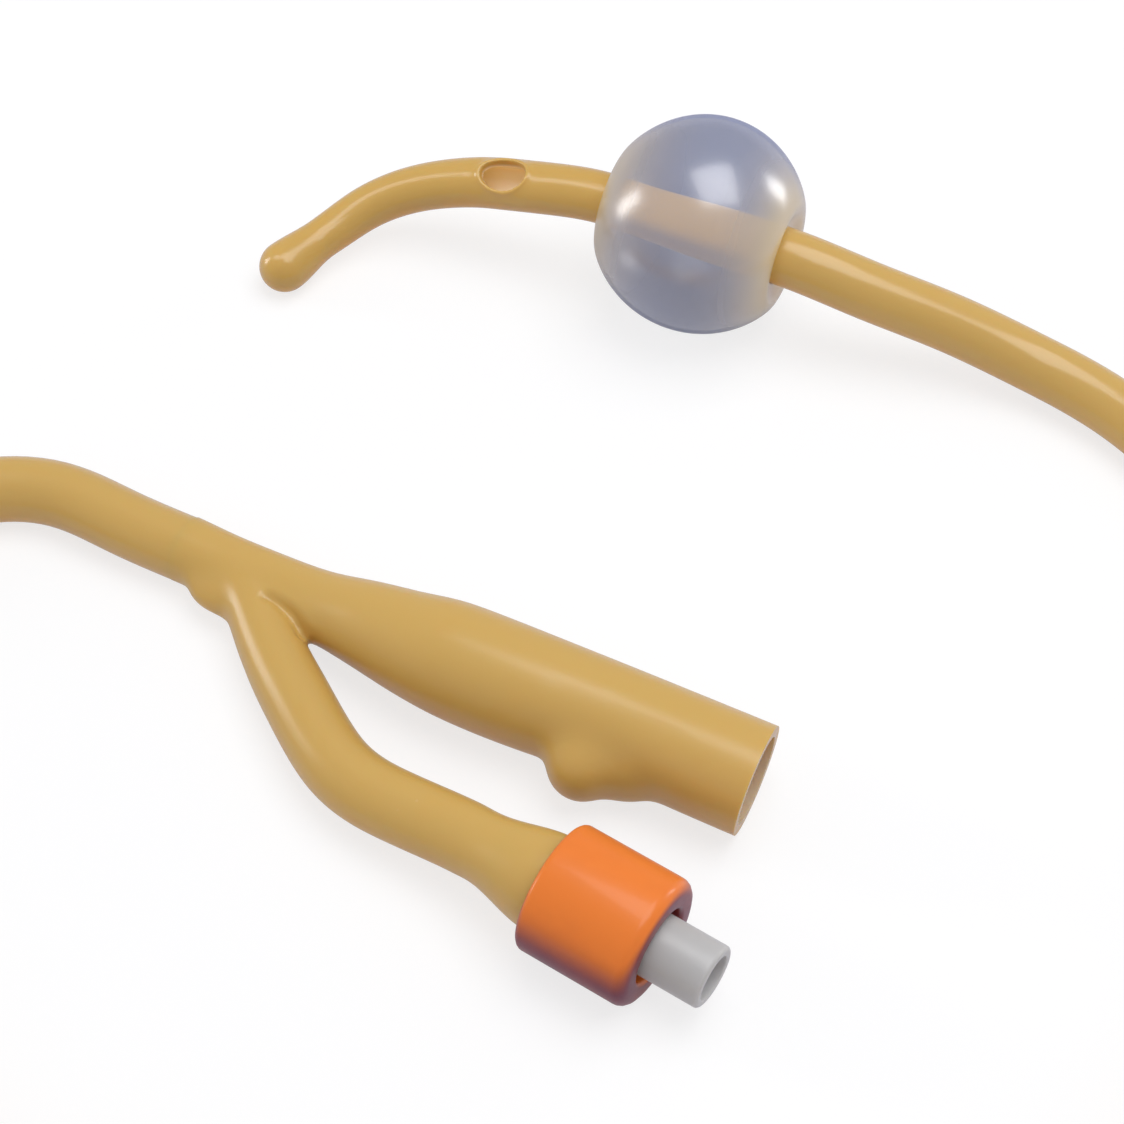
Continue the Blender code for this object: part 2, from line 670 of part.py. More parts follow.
def main():
    for obj in list(bpy.data.objects):
        bpy.data.objects.remove(obj)
    parts = new_collection("balloon_catheter")
    cutters = new_collection("cutters")
    latex = material("amber_latex", (0.62, 0.42, 0.13), 0.38)
    film = material("balloon_film", (0.78, 0.76, 0.74), 0.2, alpha=0.45)
    orange = material("orange_collar", (0.93, 0.27, 0.04), 0.35)
    natural = material("natural_plastic", (0.78, 0.78, 0.76), 0.4)
    rubber = material("seal_rubber", (0.12, 0.12, 0.13), 0.6)
    steel = material("spring_steel", (0.7, 0.7, 0.7), 0.25, 1.0)
    make_tip(parts, cutters, latex)
    make_shaft(parts, cutters, latex)
    make_balloon(parts, film)
    make_funnel(parts, cutters, latex)
    make_collar(parts, orange)
    make_housing(parts, natural)
    make_plunger(parts, cutters, natural)
    make_seal(parts, rubber)
    make_plug(parts, natural)
    make_spring(parts, steel)


main()
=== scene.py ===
"""Looks of the two-way balloon catheter: latex, blown film, plastic and the studio round it."""

import math

import bmesh
import bpy
import numpy as np
from mathutils import Matrix, Vector


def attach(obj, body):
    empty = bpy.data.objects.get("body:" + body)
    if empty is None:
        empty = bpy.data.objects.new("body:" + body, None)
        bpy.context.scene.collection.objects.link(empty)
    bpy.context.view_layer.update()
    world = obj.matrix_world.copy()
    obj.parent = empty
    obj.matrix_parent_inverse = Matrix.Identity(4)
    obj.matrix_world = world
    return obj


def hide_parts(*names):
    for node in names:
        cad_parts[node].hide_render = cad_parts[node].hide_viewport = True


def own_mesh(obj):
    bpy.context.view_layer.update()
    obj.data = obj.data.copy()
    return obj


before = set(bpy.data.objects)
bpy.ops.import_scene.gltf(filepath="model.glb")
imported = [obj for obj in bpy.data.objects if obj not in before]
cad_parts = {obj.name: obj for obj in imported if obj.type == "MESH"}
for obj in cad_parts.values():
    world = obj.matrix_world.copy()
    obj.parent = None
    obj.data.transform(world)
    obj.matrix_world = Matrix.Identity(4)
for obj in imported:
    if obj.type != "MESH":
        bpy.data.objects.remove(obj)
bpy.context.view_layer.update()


# Camera: it looks down on the table from the funnel side, through a long lens, so that the
# tip and the funnel stand as the photograph has them and the shaft's loop runs out of view.
LOOK_AT = Vector((0.0052, -0.0022, 0.0))
AZIMUTH = math.radians(26)
ELEVATION = math.radians(55)
DISTANCE = 0.270
LENS = 95.12
SENSOR_WIDTH = 36.0
NEAREST_SEEN = 0.01
FARTHEST_SEEN = 20.0

camera_data = bpy.data.cameras.new("studio_camera")
camera_data.lens = LENS
camera_data.sensor_width = SENSOR_WIDTH
camera_data.clip_start = NEAREST_SEEN
camera_data.clip_end = FARTHEST_SEEN
camera = bpy.data.objects.new("studio_camera", camera_data)
bpy.context.scene.collection.objects.link(camera)
towards_camera = Vector((
    math.sin(AZIMUTH) * math.cos(ELEVATION),
    -math.cos(AZIMUTH) * math.cos(ELEVATION),
    math.sin(ELEVATION),
))
camera.location = LOOK_AT + towards_camera * DISTANCE
camera.rotation_mode = "QUATERNION"
camera.rotation_quaternion = (-towards_camera).to_track_quat("-Z", "Y")
bpy.context.scene.camera = camera


# Materials are written as sums on wires. A wire is one value in a node tree, and each sum on
# it adds a Math node. A finish is one material: its tree and the shader that the wires feed.
class Wire:
    """One value in a finish's node tree."""

    def __init__(self, finish, socket):
        self.finish = finish
        self.socket = socket

    def math(self, operation, *values):
        """A Math node, for what has no sign of its own."""
        return self.finish.node("ShaderNodeMath", {"operation": operation}, *values)

    def __add__(self, other):
        return self.math("ADD", self, other)

    def __radd__(self, other):
        return self.math("ADD", other, self)

    def __sub__(self, other):
        return self.math("SUBTRACT", self, other)

    def __rsub__(self, other):
        return self.math("SUBTRACT", other, self)

    def __mul__(self, other):
        return self.math("MULTIPLY", self, other)

    def __rmul__(self, other):
        return self.math("MULTIPLY", other, self)

    def ramp(self, low, high):
        """0 below low, 1 above high, eased between them. High may be the lower number."""
        settings = {"interpolation_type": "SMOOTHSTEP"}
        return self.finish.node("ShaderNodeMapRange", settings, self, low, high, 0.0, 1.0)


class Finish:
    """One material, with a Principled shader whose constants are set on its own sockets."""

    def __init__(self, name, **constants):
        self.material = bpy.data.materials.new(name)
        self.material.use_nodes = True
        self.tree = self.material.node_tree
        self.surface = self.tree.nodes["Principled BSDF"]
        for socket, value in constants.items():
            self.surface.inputs[socket.replace("_", " ")].default_value = value

    def node(self, kind, settings, *values, output=None, **named):
        """Adds a node, sets what it is set to, feeds its sockets, and returns its output."""
        node = self.tree.nodes.new(kind)
        for name, value in settings.items():
            setattr(node, name, value)
        sockets = [s for s in node.inputs if s.enabled]
        pairs = list(zip(sockets, values))
        pairs += [(node.inputs[name.replace("_", " ")], value) for name, value in named.items()]
        for socket, value in pairs:
            if isinstance(value, Wire):
                self.tree.links.new(value.socket, socket)
            else:
                socket.default_value = value
        if output is None:
            return Wire(self, next(s for s in node.outputs if s.enabled))
        return Wire(self, node.outputs[output])

    def place(self):
        """The point's place in the row frame, in metres."""
        return self.node("ShaderNodeTexCoord", {}, output="Object")

    def noise(self, scale, detail=2.0, rough=0.5):
        """Soft noise from 0 to 1, with this many lumps a metre."""
        settings = {"noise_dimensions": "3D"}
        named = {"Vector": self.place(), "Scale": scale, "Detail": detail}
        return self.node("ShaderNodeTexNoise", settings, Roughness=rough, **named)

    def axes(self, vector):
        """The three parts of a vector."""
        split = self.node("ShaderNodeSeparateXYZ", {}, vector)
        node = split.socket.node
        return [Wire(self, socket) for socket in node.outputs]

    def attribute(self, name):
        """What mark() keeps on the mesh under this name, or 0 where it keeps nothing."""
        return self.node("ShaderNodeAttribute", {"attribute_name": name}, output="Fac")

    def facing_up(self):
        """-1 on a surface that faces the table to 1 on one that faces up."""
        normal = self.node("ShaderNodeNewGeometry", {}, output="Normal")
        return self.axes(normal)[2]

    def colour(self, share, low, high):
        """The colour low where the share is 0, high where it is 1."""
        settings = {"data_type": "RGBA", "blend_type": "MIX"}
        pairs = [value if isinstance(value, Wire) else (*value, 1.0) for value in (low, high)]
        return self.node("ShaderNodeMix", settings, share, *pairs)

    def bump(self, height, distance, strength):
        """The normal of a surface that rises by this distance where the height is 1."""
        named = {"Strength": strength, "Distance": distance, "Height": height}
        return self.node("ShaderNodeBump", {}, **named)

    def feed(self, **wires):
        """Joins wires to the shader's own sockets."""
        for name, value in wires.items():
            self.tree.links.new(value.socket, self.surface.inputs[name.replace("_", " ")])


# Studio: a blue-grey cloth that only the balloon's film shows, because light passes through it.
# Straight on, the camera sees white card with a faint shadow, which also bounces the light.
CLOTH_COLOUR = (0.17, 0.20, 0.38, 1.0)
CARD_COLOUR = (0.92, 0.92, 0.93, 1.0)
CARD_SHARE = 0.30
WORLD_FILL = 0.42
WORLD_TINT = (0.94, 0.94, 1.0, 1.0)
WHITE = (1.0, 1.0, 1.0, 1.0)
CARD_GLOW = 1.06
MIRRORED_SHARE = 0.5
FLOOR_HALF_WIDTH = 3.0
# Name, aim as right, away and up, distance, width, height, power in watts
SOFTBOXES = [
    ("key_box", (0.22, 0.06, 0.97), 0.62, 0.48, 0.44, 2.3),
    ("tip_box", (-0.44, 0.10, 0.89), 0.62, 0.18, 0.46, 0.85),
    ("left_box", (-0.94, 0.25, 0.22), 0.60, 0.13, 0.30, 0.78),
    ("right_box", (0.88, 0.44, 0.12), 0.60, 0.13, 0.30, 0.68),
]


def mesh_of(form, name):
    """Keeps what was built in a form as a named mesh."""
    mesh = bpy.data.meshes.new(name)
    form.to_mesh(mesh)
    form.free()
    return mesh


floor_form = bmesh.new()
bmesh.ops.create_grid(floor_form, x_segments=1, y_segments=1, size=FLOOR_HALF_WIDTH)
floor_mesh = mesh_of(floor_form, "floor")
floor = bpy.data.objects.new("floor", floor_mesh)
bpy.context.scene.collection.objects.link(floor)

card = Finish("studio_cloth", Roughness=0.9, Specular_IOR_Level=0.0, Base_Color=CLOTH_COLOUR)
path = {
    output.name: Wire(card, output)
    for output in card.tree.nodes.new("ShaderNodeLightPath").outputs
}
films_passed = path["Transparent Depth"]
straight = path["Is Camera Ray"] * (1 - films_passed.math("GREATER_THAN", films_passed, 0.5))
mirrored = path["Is Glossy Ray"] + path["Is Transmission Ray"]
seen = straight + mirrored * MIRRORED_SHARE
white_seen = seen.math("MINIMUM", seen, 1.0)
lit = card.node("ShaderNodeBsdfDiffuse", {}, Color=CARD_COLOUR)
glow = card.node("ShaderNodeEmission", {}, Color=WHITE, Strength=CARD_GLOW)
paper = card.node("ShaderNodeMixShader", {}, CARD_SHARE, glow, lit)
cloth = Wire(card, card.surface.outputs[0])
bounced = path["Is Diffuse Ray"]
under = card.node("ShaderNodeMixShader", {}, bounced, cloth, lit)
shown = card.node("ShaderNodeMixShader", {}, white_seen, under, paper)
card.tree.links.new(shown.socket, card.tree.nodes["Material Output"].inputs["Surface"])
floor_mesh.materials.append(card.material)

world = bpy.data.worlds.new("studio")
bpy.context.scene.world = world
world.use_nodes = True
sky = world.node_tree
rays = sky.nodes.new("ShaderNodeLightPath")
direct = sky.nodes.new("ShaderNodeMath")
direct.operation = "MAXIMUM"
sky.links.new(rays.outputs["Is Camera Ray"], direct.inputs[0])
sky.links.new(rays.outputs["Is Transmission Ray"], direct.inputs[1])
fill = sky.nodes["Background"]
fill.inputs["Color"].default_value = WORLD_TINT
fill.inputs["Strength"].default_value = WORLD_FILL
white = sky.nodes.new("ShaderNodeBackground")
white.inputs["Color"].default_value = WHITE
white.inputs["Strength"].default_value = 1.0
either = sky.nodes.new("ShaderNodeMixShader")
sky.links.new(direct.outputs[0], either.inputs[0])
sky.links.new(fill.outputs[0], either.inputs[1])
sky.links.new(white.outputs[0], either.inputs[2])
sky.links.new(either.outputs[0], sky.nodes["World Output"].inputs["Surface"])


def from_camera_side(aim):
    """Turns a direction given as right, away and up from where the camera stands."""
    return Matrix.Rotation(AZIMUTH, 3, "Z") @ Vector(aim)


lamps = {}
for name, aim, distance, width, height, power in SOFTBOXES:
    data = bpy.data.lights.new(name, "AREA")
    data.shape = "RECTANGLE"
    data.size = width
    data.size_y = height
    data.energy = power
    lamp = bpy.data.objects.new(name, data)
    bpy.context.scene.collection.objects.link(lamp)
    direction = from_camera_side(aim).normalized()
    lamp.location = LOOK_AT + direction * distance
    lamp.rotation_mode = "QUATERNION"
    lamp.rotation_quaternion = direction.to_track_quat("Z", "Y")
    lamps[name] = lamp
bpy.context.scene.view_settings.view_transform = "Standard"


# Latex: amber rubber, dipped and then coated, so that a clear gloss lies over a soft body.
# It has painted shade: a deeper amber where it is turned down. It has faint cloud and specks in
# the dip, a painted highlight along the shaft's ridge, and is duller on the tip. Its bores are
# milky, with painted light on their up-facing floor and a painted glow in the eye. Where the
# balloon is round it, the tube has a painted glow and bluish painted shade on its flanks.
HONEY = (0.665, 0.420, 0.112)
SHADED_AND_CLOUDY_AMBER = (0.69, 0.325, 0.030)
PALE_DUST_AND_HIGHLIGHT = (0.76, 0.54, 0.28)
MILKY_AND_LIT_BORE = (0.72, 0.65, 0.58)
OLIVE_AMBER = (0.56, 0.345, 0.085)
PAINTED_FLANK_SHADE = (0.30, 0.31, 0.44)
PAINTED_INNER_GLOW = (0.40, 0.240, 0.050)
# Lumps a metre, and the height of the finest in metres
CLOUDS = 170.0
SPECKS = 420.0
SPECK_PATCHES = 90.0
LUMPS = 420.0
GRAINS = 1300.0
LUMP_HEIGHT = 0.00006


def latex_finish(name, gloss, blur):
    """Latex with this much gloss in its coat, blurred by this much."""
    finish = Finish(
        name,
        Roughness=0.36,
        Coat_Weight=gloss,
        Coat_Roughness=blur,
        Specular_IOR_Level=0.20,
        Subsurface_Weight=0.25,
        Subsurface_Radius=(0.0016, 0.0009, 0.0004),
        Subsurface_Scale=1.0,
        Emission_Strength=1.0,
    )
    cloud = finish.noise(CLOUDS, 3.0, 0.55)
    grain = finish.noise(GRAINS, 2.0, 0.6)
    # Painted shade: the latex is darkened to deep amber where it faces down, mixed with the
    # cloud's own tone.
    painted_shade_below = finish.facing_up().ramp(0.55, -0.75)
    shade_and_cloud = painted_shade_below * 0.75 + (cloud - 0.5) * 0.9
    honey = finish.colour(finish.attribute("bare_tip"), HONEY, OLIVE_AMBER)
    body = finish.colour(shade_and_cloud.ramp(0.0, 1.0), honey, SHADED_AND_CLOUDY_AMBER)
    specks = finish.node(
        "ShaderNodeTexVoronoi", {"feature": "F1"},
        Vector=finish.place(), Scale=SPECKS, Randomness=1.0, output="Distance",
    )
    dust = specks.ramp(0.085, 0.03) * finish.noise(SPECK_PATCHES).ramp(0.58, 0.72)
    body = finish.colour(dust * 0.35, body, PALE_DUST_AND_HIGHLIGHT)
    # Painted highlight: a pale line along the shaft's ridge. The same pale colour also gives the
    # dust specks.
    body = finish.colour(finish.attribute("ridge") * 0.45, body, PALE_DUST_AND_HIGHLIGHT)
    # The bores are milky, and lighter where they face up: painted light on their floor.
    milky = finish.attribute("milky")
    painted_light_share = finish.facing_up().ramp(-0.3, 0.7) * 0.5 + 0.45
    body = finish.colour(milky * painted_light_share, body, MILKY_AND_LIT_BORE)
    # Painted shade: inside the balloon, the tube's flanks are painted bluish like the film.
    inside = finish.attribute("inside")
    painted_shade_flanks = finish.facing_up().ramp(0.75, 0.10) * (1 - milky)
    body = finish.colour(inside * painted_shade_flanks * 0.65, body, PAINTED_FLANK_SHADE)
    # Painted glow: the tube inside the balloon and the eye's hollow glow in amber, though no lamp
    # is there.
    glow = inside * (1 - painted_shade_flanks * 0.60)
    lumps = finish.noise(LUMPS, 2.0) * 0.7 + grain * 0.3
    finish.feed(
        Base_Color=body,
        Emission_Color=finish.colour(glow, (0.0, 0.0, 0.0), PAINTED_INNER_GLOW),
        Roughness=0.30 + cloud * 0.06 + grain * 0.08,
        Normal=finish.bump(lumps, LUMP_HEIGHT, 0.55),
    )
    return finish.material


latex = latex_finish("amber_latex", 0.85, 0.19)
satin_latex = latex_finish("satin_latex", 0.70, 0.27)


# Shaft: a limp latex tube with a wide drainage lumen and, in its wall, a fine inflation lumen
# that stands out as a faint ridge along one side. It lies in one loose loop beyond the view.
SHAFT_TIP_RADIUS = 0.00276
SHAFT_FUNNEL_RADIUS = 0.00302
TIP_RADIUS = 0.00249
BALLOON_AT = Vector((0.0032, 0.0313, 0.0103))
BALLOON_HEADING = math.radians(2.4)
BALLOON_HALF_LENGTH = 0.01015
TIP_IN_BALLOON = 0.0031
NECK_IN = 0.0018
NECK_FADE = 0.0012
JOINT_GAP = 0.0003
SHAFT_STEP = 0.0010
SHAFT_SIDES = 96
SHAFT_DESCENT = [
    (0.0201, 0.0326, 0.00875),
    (0.0278, 0.0343, 0.0063),
    (0.0357, 0.03525, 0.0039),
    (0.0392, 0.0351, 0.0034),
]
TABLE_LINE = 0.00305
SHAFT_ON_TABLE = [
    (0.0466, 0.0334), (0.0613, 0.0228), (0.0682, 0.0118), (0.0725, -0.0006),
    (0.0746, -0.0119), (0.0752, -0.0211), (0.0748, -0.0317), (0.0709, -0.0447),
    (0.0643, -0.0545), (0.0526, -0.0635), (0.0439, -0.0674), (0.0313, -0.0712),
    (0.0217, -0.0733), (0.0151, -0.0747), (0.0035, -0.0766), (-0.0118, -0.0768),
    (-0.0266, -0.0711), (-0.0351, -0.0641), (-0.0423, -0.0557), (-0.0476, -0.0470),
    (-0.0510, -0.0368), (-0.0479, -0.0233), (-0.0386, -0.0175), (-0.0315, -0.01755),
]
SHAFT_ROUTE = SHAFT_DESCENT + [(x, y, TABLE_LINE) for x, y in SHAFT_ON_TABLE]
SHAFT_END = (-0.0244, -0.01768, TABLE_LINE)
RIDGE_HEIGHT = 0.035
RIDGE_WIDTH = 0.085
RIDGE_ANGLE = math.radians(162)


def balloon_point(along):
    """A point on the balloon's own axis, measured from its centre towards the shaft."""
    heading = Vector((math.cos(BALLOON_HEADING), math.sin(BALLOON_HEADING), 0.0))
    return BALLOON_AT + heading * along


def in_balloon(points):
    """1 for points of the tube that lie inside the balloon, and 0 past its two necks."""
    from_centre = points - np.array(BALLOON_AT)
    heading = np.array(balloon_point(1.0) - balloon_point(0.0))
    along = from_centre @ heading
    from_axis = np.linalg.norm(from_centre - np.outer(along, heading), axis=1)
    neck = BALLOON_HALF_LENGTH - NECK_IN
    between_necks = 1 - ease(np.abs(along), neck - NECK_FADE, neck)
    return between_necks * (from_axis < 2 * SHAFT_TIP_RADIUS)


def smooth_route(points, step):
    """Points about one step apart on the natural cubic spline through the given points."""
    p = np.array([tuple(q) for q in points], float)
    u = np.concatenate([[0.0], np.cumsum(np.linalg.norm(np.diff(p, axis=0), axis=1))])
    h = np.diff(u)
    n = len(p)
    system = np.eye(n)
    slopes = np.zeros_like(p)
    for i in range(1, n - 1):
        system[i, i - 1 : i + 2] = (h[i - 1], 2 * (h[i - 1] + h[i]), h[i])
        slopes[i] = 6 * ((p[i + 1] - p[i]) / h[i] - (p[i] - p[i - 1]) / h[i - 1])
    bend = np.linalg.solve(system, slopes)
    at = np.linspace(0.0, u[-1], max(2, round(u[-1] / step) + 1))
    i = np.clip(np.searchsorted(u, at, side="right") - 1, 0, n - 2)
    a = ((u[i + 1] - at) / h[i])[:, None]
    b = ((at - u[i]) / h[i])[:, None]
    curve = a * p[i] + b * p[i + 1]
    curve += ((a**3 - a) * bend[i] + (b**3 - b) * bend[i + 1]) * (h[i] ** 2)[:, None] / 6
    return curve


def distances(points):
    """How far along its line each point lies."""
    steps = np.linalg.norm(np.diff(np.asarray(points, float), axis=0), axis=1)
    return np.concatenate([[0.0], np.cumsum(steps)])


def ease(value, low, high):
    """0 before low, 1 after high, and an even ease between them."""
    t = np.clip((np.asarray(value, float) - low) / (high - low), 0.0, 1.0)
    return t * t * (3 - 2 * t)


def dipped_tube_tree():
    """Geometry Nodes that draw a tube along a line of points with a radius at each."""
    tree = bpy.data.node_groups.new("dipped_tube", "GeometryNodeTree")
    tree.interface.new_socket("Route", in_out="INPUT", socket_type="NodeSocketGeometry")
    for name, kind in (
        ("Sides", "NodeSocketInt"),
        ("Ridge height", "NodeSocketFloat"),
        ("Ridge width", "NodeSocketFloat"),
        ("Ridge angle", "NodeSocketFloat"),
        ("Finish", "NodeSocketMaterial"),
    ):
        tree.interface.new_socket(name, in_out="INPUT", socket_type=kind)
    tree.interface.new_socket("Tube", in_out="OUTPUT", socket_type="NodeSocketGeometry")

    def feed(socket, value):
        if isinstance(value, bpy.types.NodeSocket):
            tree.links.new(value, socket)
        else:
            socket.default_value = value

    def node(kind, settings, **inputs):
        made = tree.nodes.new(kind)
        for name, value in settings.items():
            setattr(made, name, value)
        for name, value in inputs.items():
            feed(made.inputs[name.replace("_", " ")], value)
        return made

    def calc(operation, *values):
        made = node("ShaderNodeMath", {"operation": operation})
        for socket, value in zip(made.inputs, values):
            feed(socket, value)
        return made.outputs[0]

    given = tree.nodes.new("NodeGroupInput").outputs
    ring = node("GeometryNodeCurvePrimitiveCircle", {}, Resolution=given["Sides"], Radius=1.0)
    position = tree.nodes.new("GeometryNodeInputPosition").outputs[0]
    parts = node("ShaderNodeSeparateXYZ", {}, Vector=position).outputs
    angle = calc("ARCTAN2", parts[1], parts[0])
    away = calc("DIVIDE", calc("SUBTRACT", angle, given["Ridge angle"]), given["Ridge width"])
    share = calc("EXPONENT", calc("MULTIPLY", calc("MULTIPLY", away, away), -1.0))
    stretch = calc("ADD", 1.0, calc("MULTIPLY", share, given["Ridge height"]))
    ridged = node("ShaderNodeVectorMath", {"operation": "SCALE"}, Vector=position, Scale=stretch)
    profile = node(
        "GeometryNodeSetPosition", {}, Geometry=ring.outputs["Curve"], Position=ridged.outputs[0]
    )
    marked = node(
        "GeometryNodeStoreNamedAttribute", {"data_type": "FLOAT", "domain": "POINT"},
        Geometry=profile.outputs[0], Name="ridge", Value=share,
    )
    line = node("GeometryNodeMeshToCurve", {}, Mesh=given["Route"])
    upright = node("GeometryNodeSetCurveNormal", {"mode": "Z_UP"}, Curve=line.outputs[0])
    radius = node("GeometryNodeInputNamedAttribute", {"data_type": "FLOAT"}, Name="radius")
    swept = node(
        "GeometryNodeCurveToMesh", {},
        Curve=upright.outputs[0], Profile_Curve=marked.outputs[0],
        Scale=radius.outputs["Attribute"], Fill_Caps=True,
    )
    welded = node("GeometryNodeMergeByDistance", {}, Geometry=swept.outputs[0], Distance=1e-7)
    smooth = node("GeometryNodeSetShadeSmooth", {}, Geometry=welded.outputs[0])
    whole = node("GeometryNodeRealizeInstances", {}, Geometry=smooth.outputs[0])
    dressed = node(
        "GeometryNodeSetMaterial", {}, Geometry=whole.outputs[0], Material=given["Finish"]
    )
    result = tree.nodes.new("NodeGroupOutput")
    tree.links.new(dressed.outputs[0], result.inputs[0])
    return tree


DIPPED_TUBE = dipped_tube_tree()


def plain_mesh(obj, name):
    """The object's evaluated mesh, as a plain mesh, with the object itself taken away."""
    graph = bpy.context.evaluated_depsgraph_get()
    mesh = bpy.data.meshes.new_from_object(obj.evaluated_get(graph))
    mesh.name = name
    old = obj.data
    bpy.data.objects.remove(obj)
    if old.users == 0:
        bpy.data.meshes.remove(old)
    return mesh


def tube_mesh(name, points, radii, sides, finish, ridge=0.0):
    """A tube along the points, made by the Geometry Nodes above and kept as a plain mesh."""
    line = bpy.data.meshes.new(name)
    line.from_pydata([tuple(p) for p in points], [(i, i + 1) for i in range(len(points) - 1)], [])
    line.attributes.new("radius", "FLOAT", "POINT").data.foreach_set(
        "value", np.broadcast_to(np.asarray(radii, np.float32), (len(points),)).copy()
    )
    holder = bpy.data.objects.new(name, line)
    bpy.context.scene.collection.objects.link(holder)
    modifier = holder.modifiers.new("tube", "NODES")
    modifier.node_group = DIPPED_TUBE
    values = {
        "Sides": sides, "Ridge height": ridge, "Ridge width": RIDGE_WIDTH,
        "Ridge angle": RIDGE_ANGLE, "Finish": finish,
    }
    for item in DIPPED_TUBE.interface.items_tree:
        if item.in_out == "INPUT" and item.name in values:
            modifier[item.identifier] = values[item.name]
    return plain_mesh(holder, name)


def points_of(mesh):
    """The places of all points, one row each."""
    co = np.empty(len(mesh.vertices) * 3, np.float32)
    mesh.vertices.foreach_get("co", co)
    return co.reshape(-1, 3).astype(float)


def mark(mesh, name, values):
    """Keeps one number a point under a name that the finish reads."""
    mesh.attributes.new(name, "FLOAT", "POINT").data.foreach_set(
        "value", np.asarray(values, np.float32)
    )


def add_piece(name, mesh, body, node, finish=None):
    """Puts a finished mesh in the scene, on its body, for the CAD node that it stands for."""
    piece = bpy.data.objects.new(name, mesh)
    bpy.context.scene.collection.objects.link(piece)
    if finish:
        mesh.materials.clear()
        mesh.materials.append(finish)
    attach(piece, body)
    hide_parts(node)
    return piece


shaft_start = balloon_point(-BALLOON_HALF_LENGTH + TIP_IN_BALLOON + JOINT_GAP)
shaft_places = [shaft_start, balloon_point(0.0), balloon_point(BALLOON_HALF_LENGTH)]
shaft_places += [Vector(p) for p in SHAFT_ROUTE] + [Vector(SHAFT_END)]
shaft_line = smooth_route(shaft_places, SHAFT_STEP)
shaft_along = distances(shaft_line)
shaft_radii = SHAFT_TIP_RADIUS + (
    SHAFT_FUNNEL_RADIUS - SHAFT_TIP_RADIUS
) * shaft_along / shaft_along[-1]
shaft_radii = TIP_RADIUS + (shaft_radii - TIP_RADIUS) * ease(shaft_along, 0.0, BALLOON_HALF_LENGTH)
shaft_mesh = tube_mesh("shaft_tube", shaft_line, shaft_radii, SHAFT_SIDES, latex, RIDGE_HEIGHT)
# Inside the balloon, the tube gets a painted glow and painted shade on its flanks.
mark(shaft_mesh, "inside", in_balloon(points_of(shaft_mesh)))
shaft_tube = add_piece("shaft_tube", shaft_mesh, "catheter", "shaft")
[tuple(p) for p in shaft_line[::3]] + [tuple(shaft_line[-1])]


# Tip: one latex moulding, from the solid olive over a slim neck to its butt on the shaft.
# The eye is punched through its upper side, and the dip leaves a raised lip round it.
OLIVE_RADIUS = 0.00247
NECK_RADIUS = 0.0020
NECK_AT = 0.0072
TAPER_END = 0.0270
TIP_LUMEN_RADIUS = 0.0016
TIP_LUMEN_START = 0.0175
EYE_AT = 0.0277
EYE_LENGTH = 0.0047
EYE_WIDTH = 0.0033
EYE_TURN = math.radians(-18)
EYE_FLOOR = -0.0015
EYE_HEADING_STEPS = 8
EYE_MARKS_REACH = 0.0042
EYE_GLOW = 0.48
# In radii from the middle line: where the lip may rise, and where the bore's look ends
SKIN_BAND = (0.84, 0.96)
BORE_BAND = (1.02, 1.28)
LAP = 0.0005
# The lip's height, then the places and widths of lip and ditch, in sizes of the eye
LIP_HEIGHT = 0.00009
LIP_AT = 1.10
LIP_WIDTH = 0.09
DITCH_BEYOND = 0.34
DITCH_WIDTH = 0.20
DITCH_SHARE = 0.35
TIP_VOXEL = 0.00012
TIP_STEP = 0.0001
RING_STEP = 0.0003
POLE_RINGS = 22
TIP_SIDES = 72
BORE_SIDES = 48
TIP_SOFTENING = 5
TIP_ROUTE = [
    (-0.0342, 0.0135, 0.0025),
    (-0.0333, 0.0161, 0.0025),
    (-0.0322, 0.0190, 0.0028),
    (-0.0308, 0.0219, 0.0033),
    (-0.0291, 0.0245, 0.0042),
    (-0.0268, 0.0265, 0.0053),
    (-0.0242, 0.0278, 0.0064),
    (-0.0214, 0.0287, 0.0074),
    (-0.0184, 0.0293, 0.00835),
    (-0.0153, 0.0297, 0.0091),
    (-0.0120, 0.0301, 0.0098),
]


def ball(name, place, around):
    """A unit ball with this many faces around, stretched and set in place by a matrix."""
    form = bmesh.new()
    bmesh.ops.create_uvsphere(form, u_segments=around, v_segments=32, radius=1.0)
    bmesh.ops.transform(form, matrix=place, verts=form.verts)
    return mesh_of(form, name)


def holder_for(mesh):
    """An object that carries the mesh while modifiers work on it."""
    obj = bpy.data.objects.new(mesh.name, mesh)
    bpy.context.scene.collection.objects.link(obj)
    return obj


def cut(mesh, name, *tools):
    """The mesh with the tools cut from it, as a plain mesh."""
    work = holder_for(mesh)
    helpers = [holder_for(tool) for tool in tools]
    for helper in helpers:
        boolean = work.modifiers.new("cut", "BOOLEAN")
        boolean.operation = "DIFFERENCE"
        boolean.solver = "EXACT"
        boolean.object = helper
    made = plain_mesh(work, name)
    for helper in helpers:
        bpy.data.objects.remove(helper)
    return made


def remeshed(mesh, name, voxel):
    """The outer skin of the mesh as even quads, where overlapping forms grow into one."""
    work = holder_for(mesh)
    modifier = work.modifiers.new("skin", "REMESH")
    modifier.mode = "VOXEL"
    modifier.voxel_size = voxel
    modifier.use_smooth_shade = True
    return plain_mesh(work, name)


def move_points(mesh, co):
    """Puts every point of the mesh at its new place."""
    mesh.vertices.foreach_set("co", co.astype(np.float32).ravel())
    mesh.update()


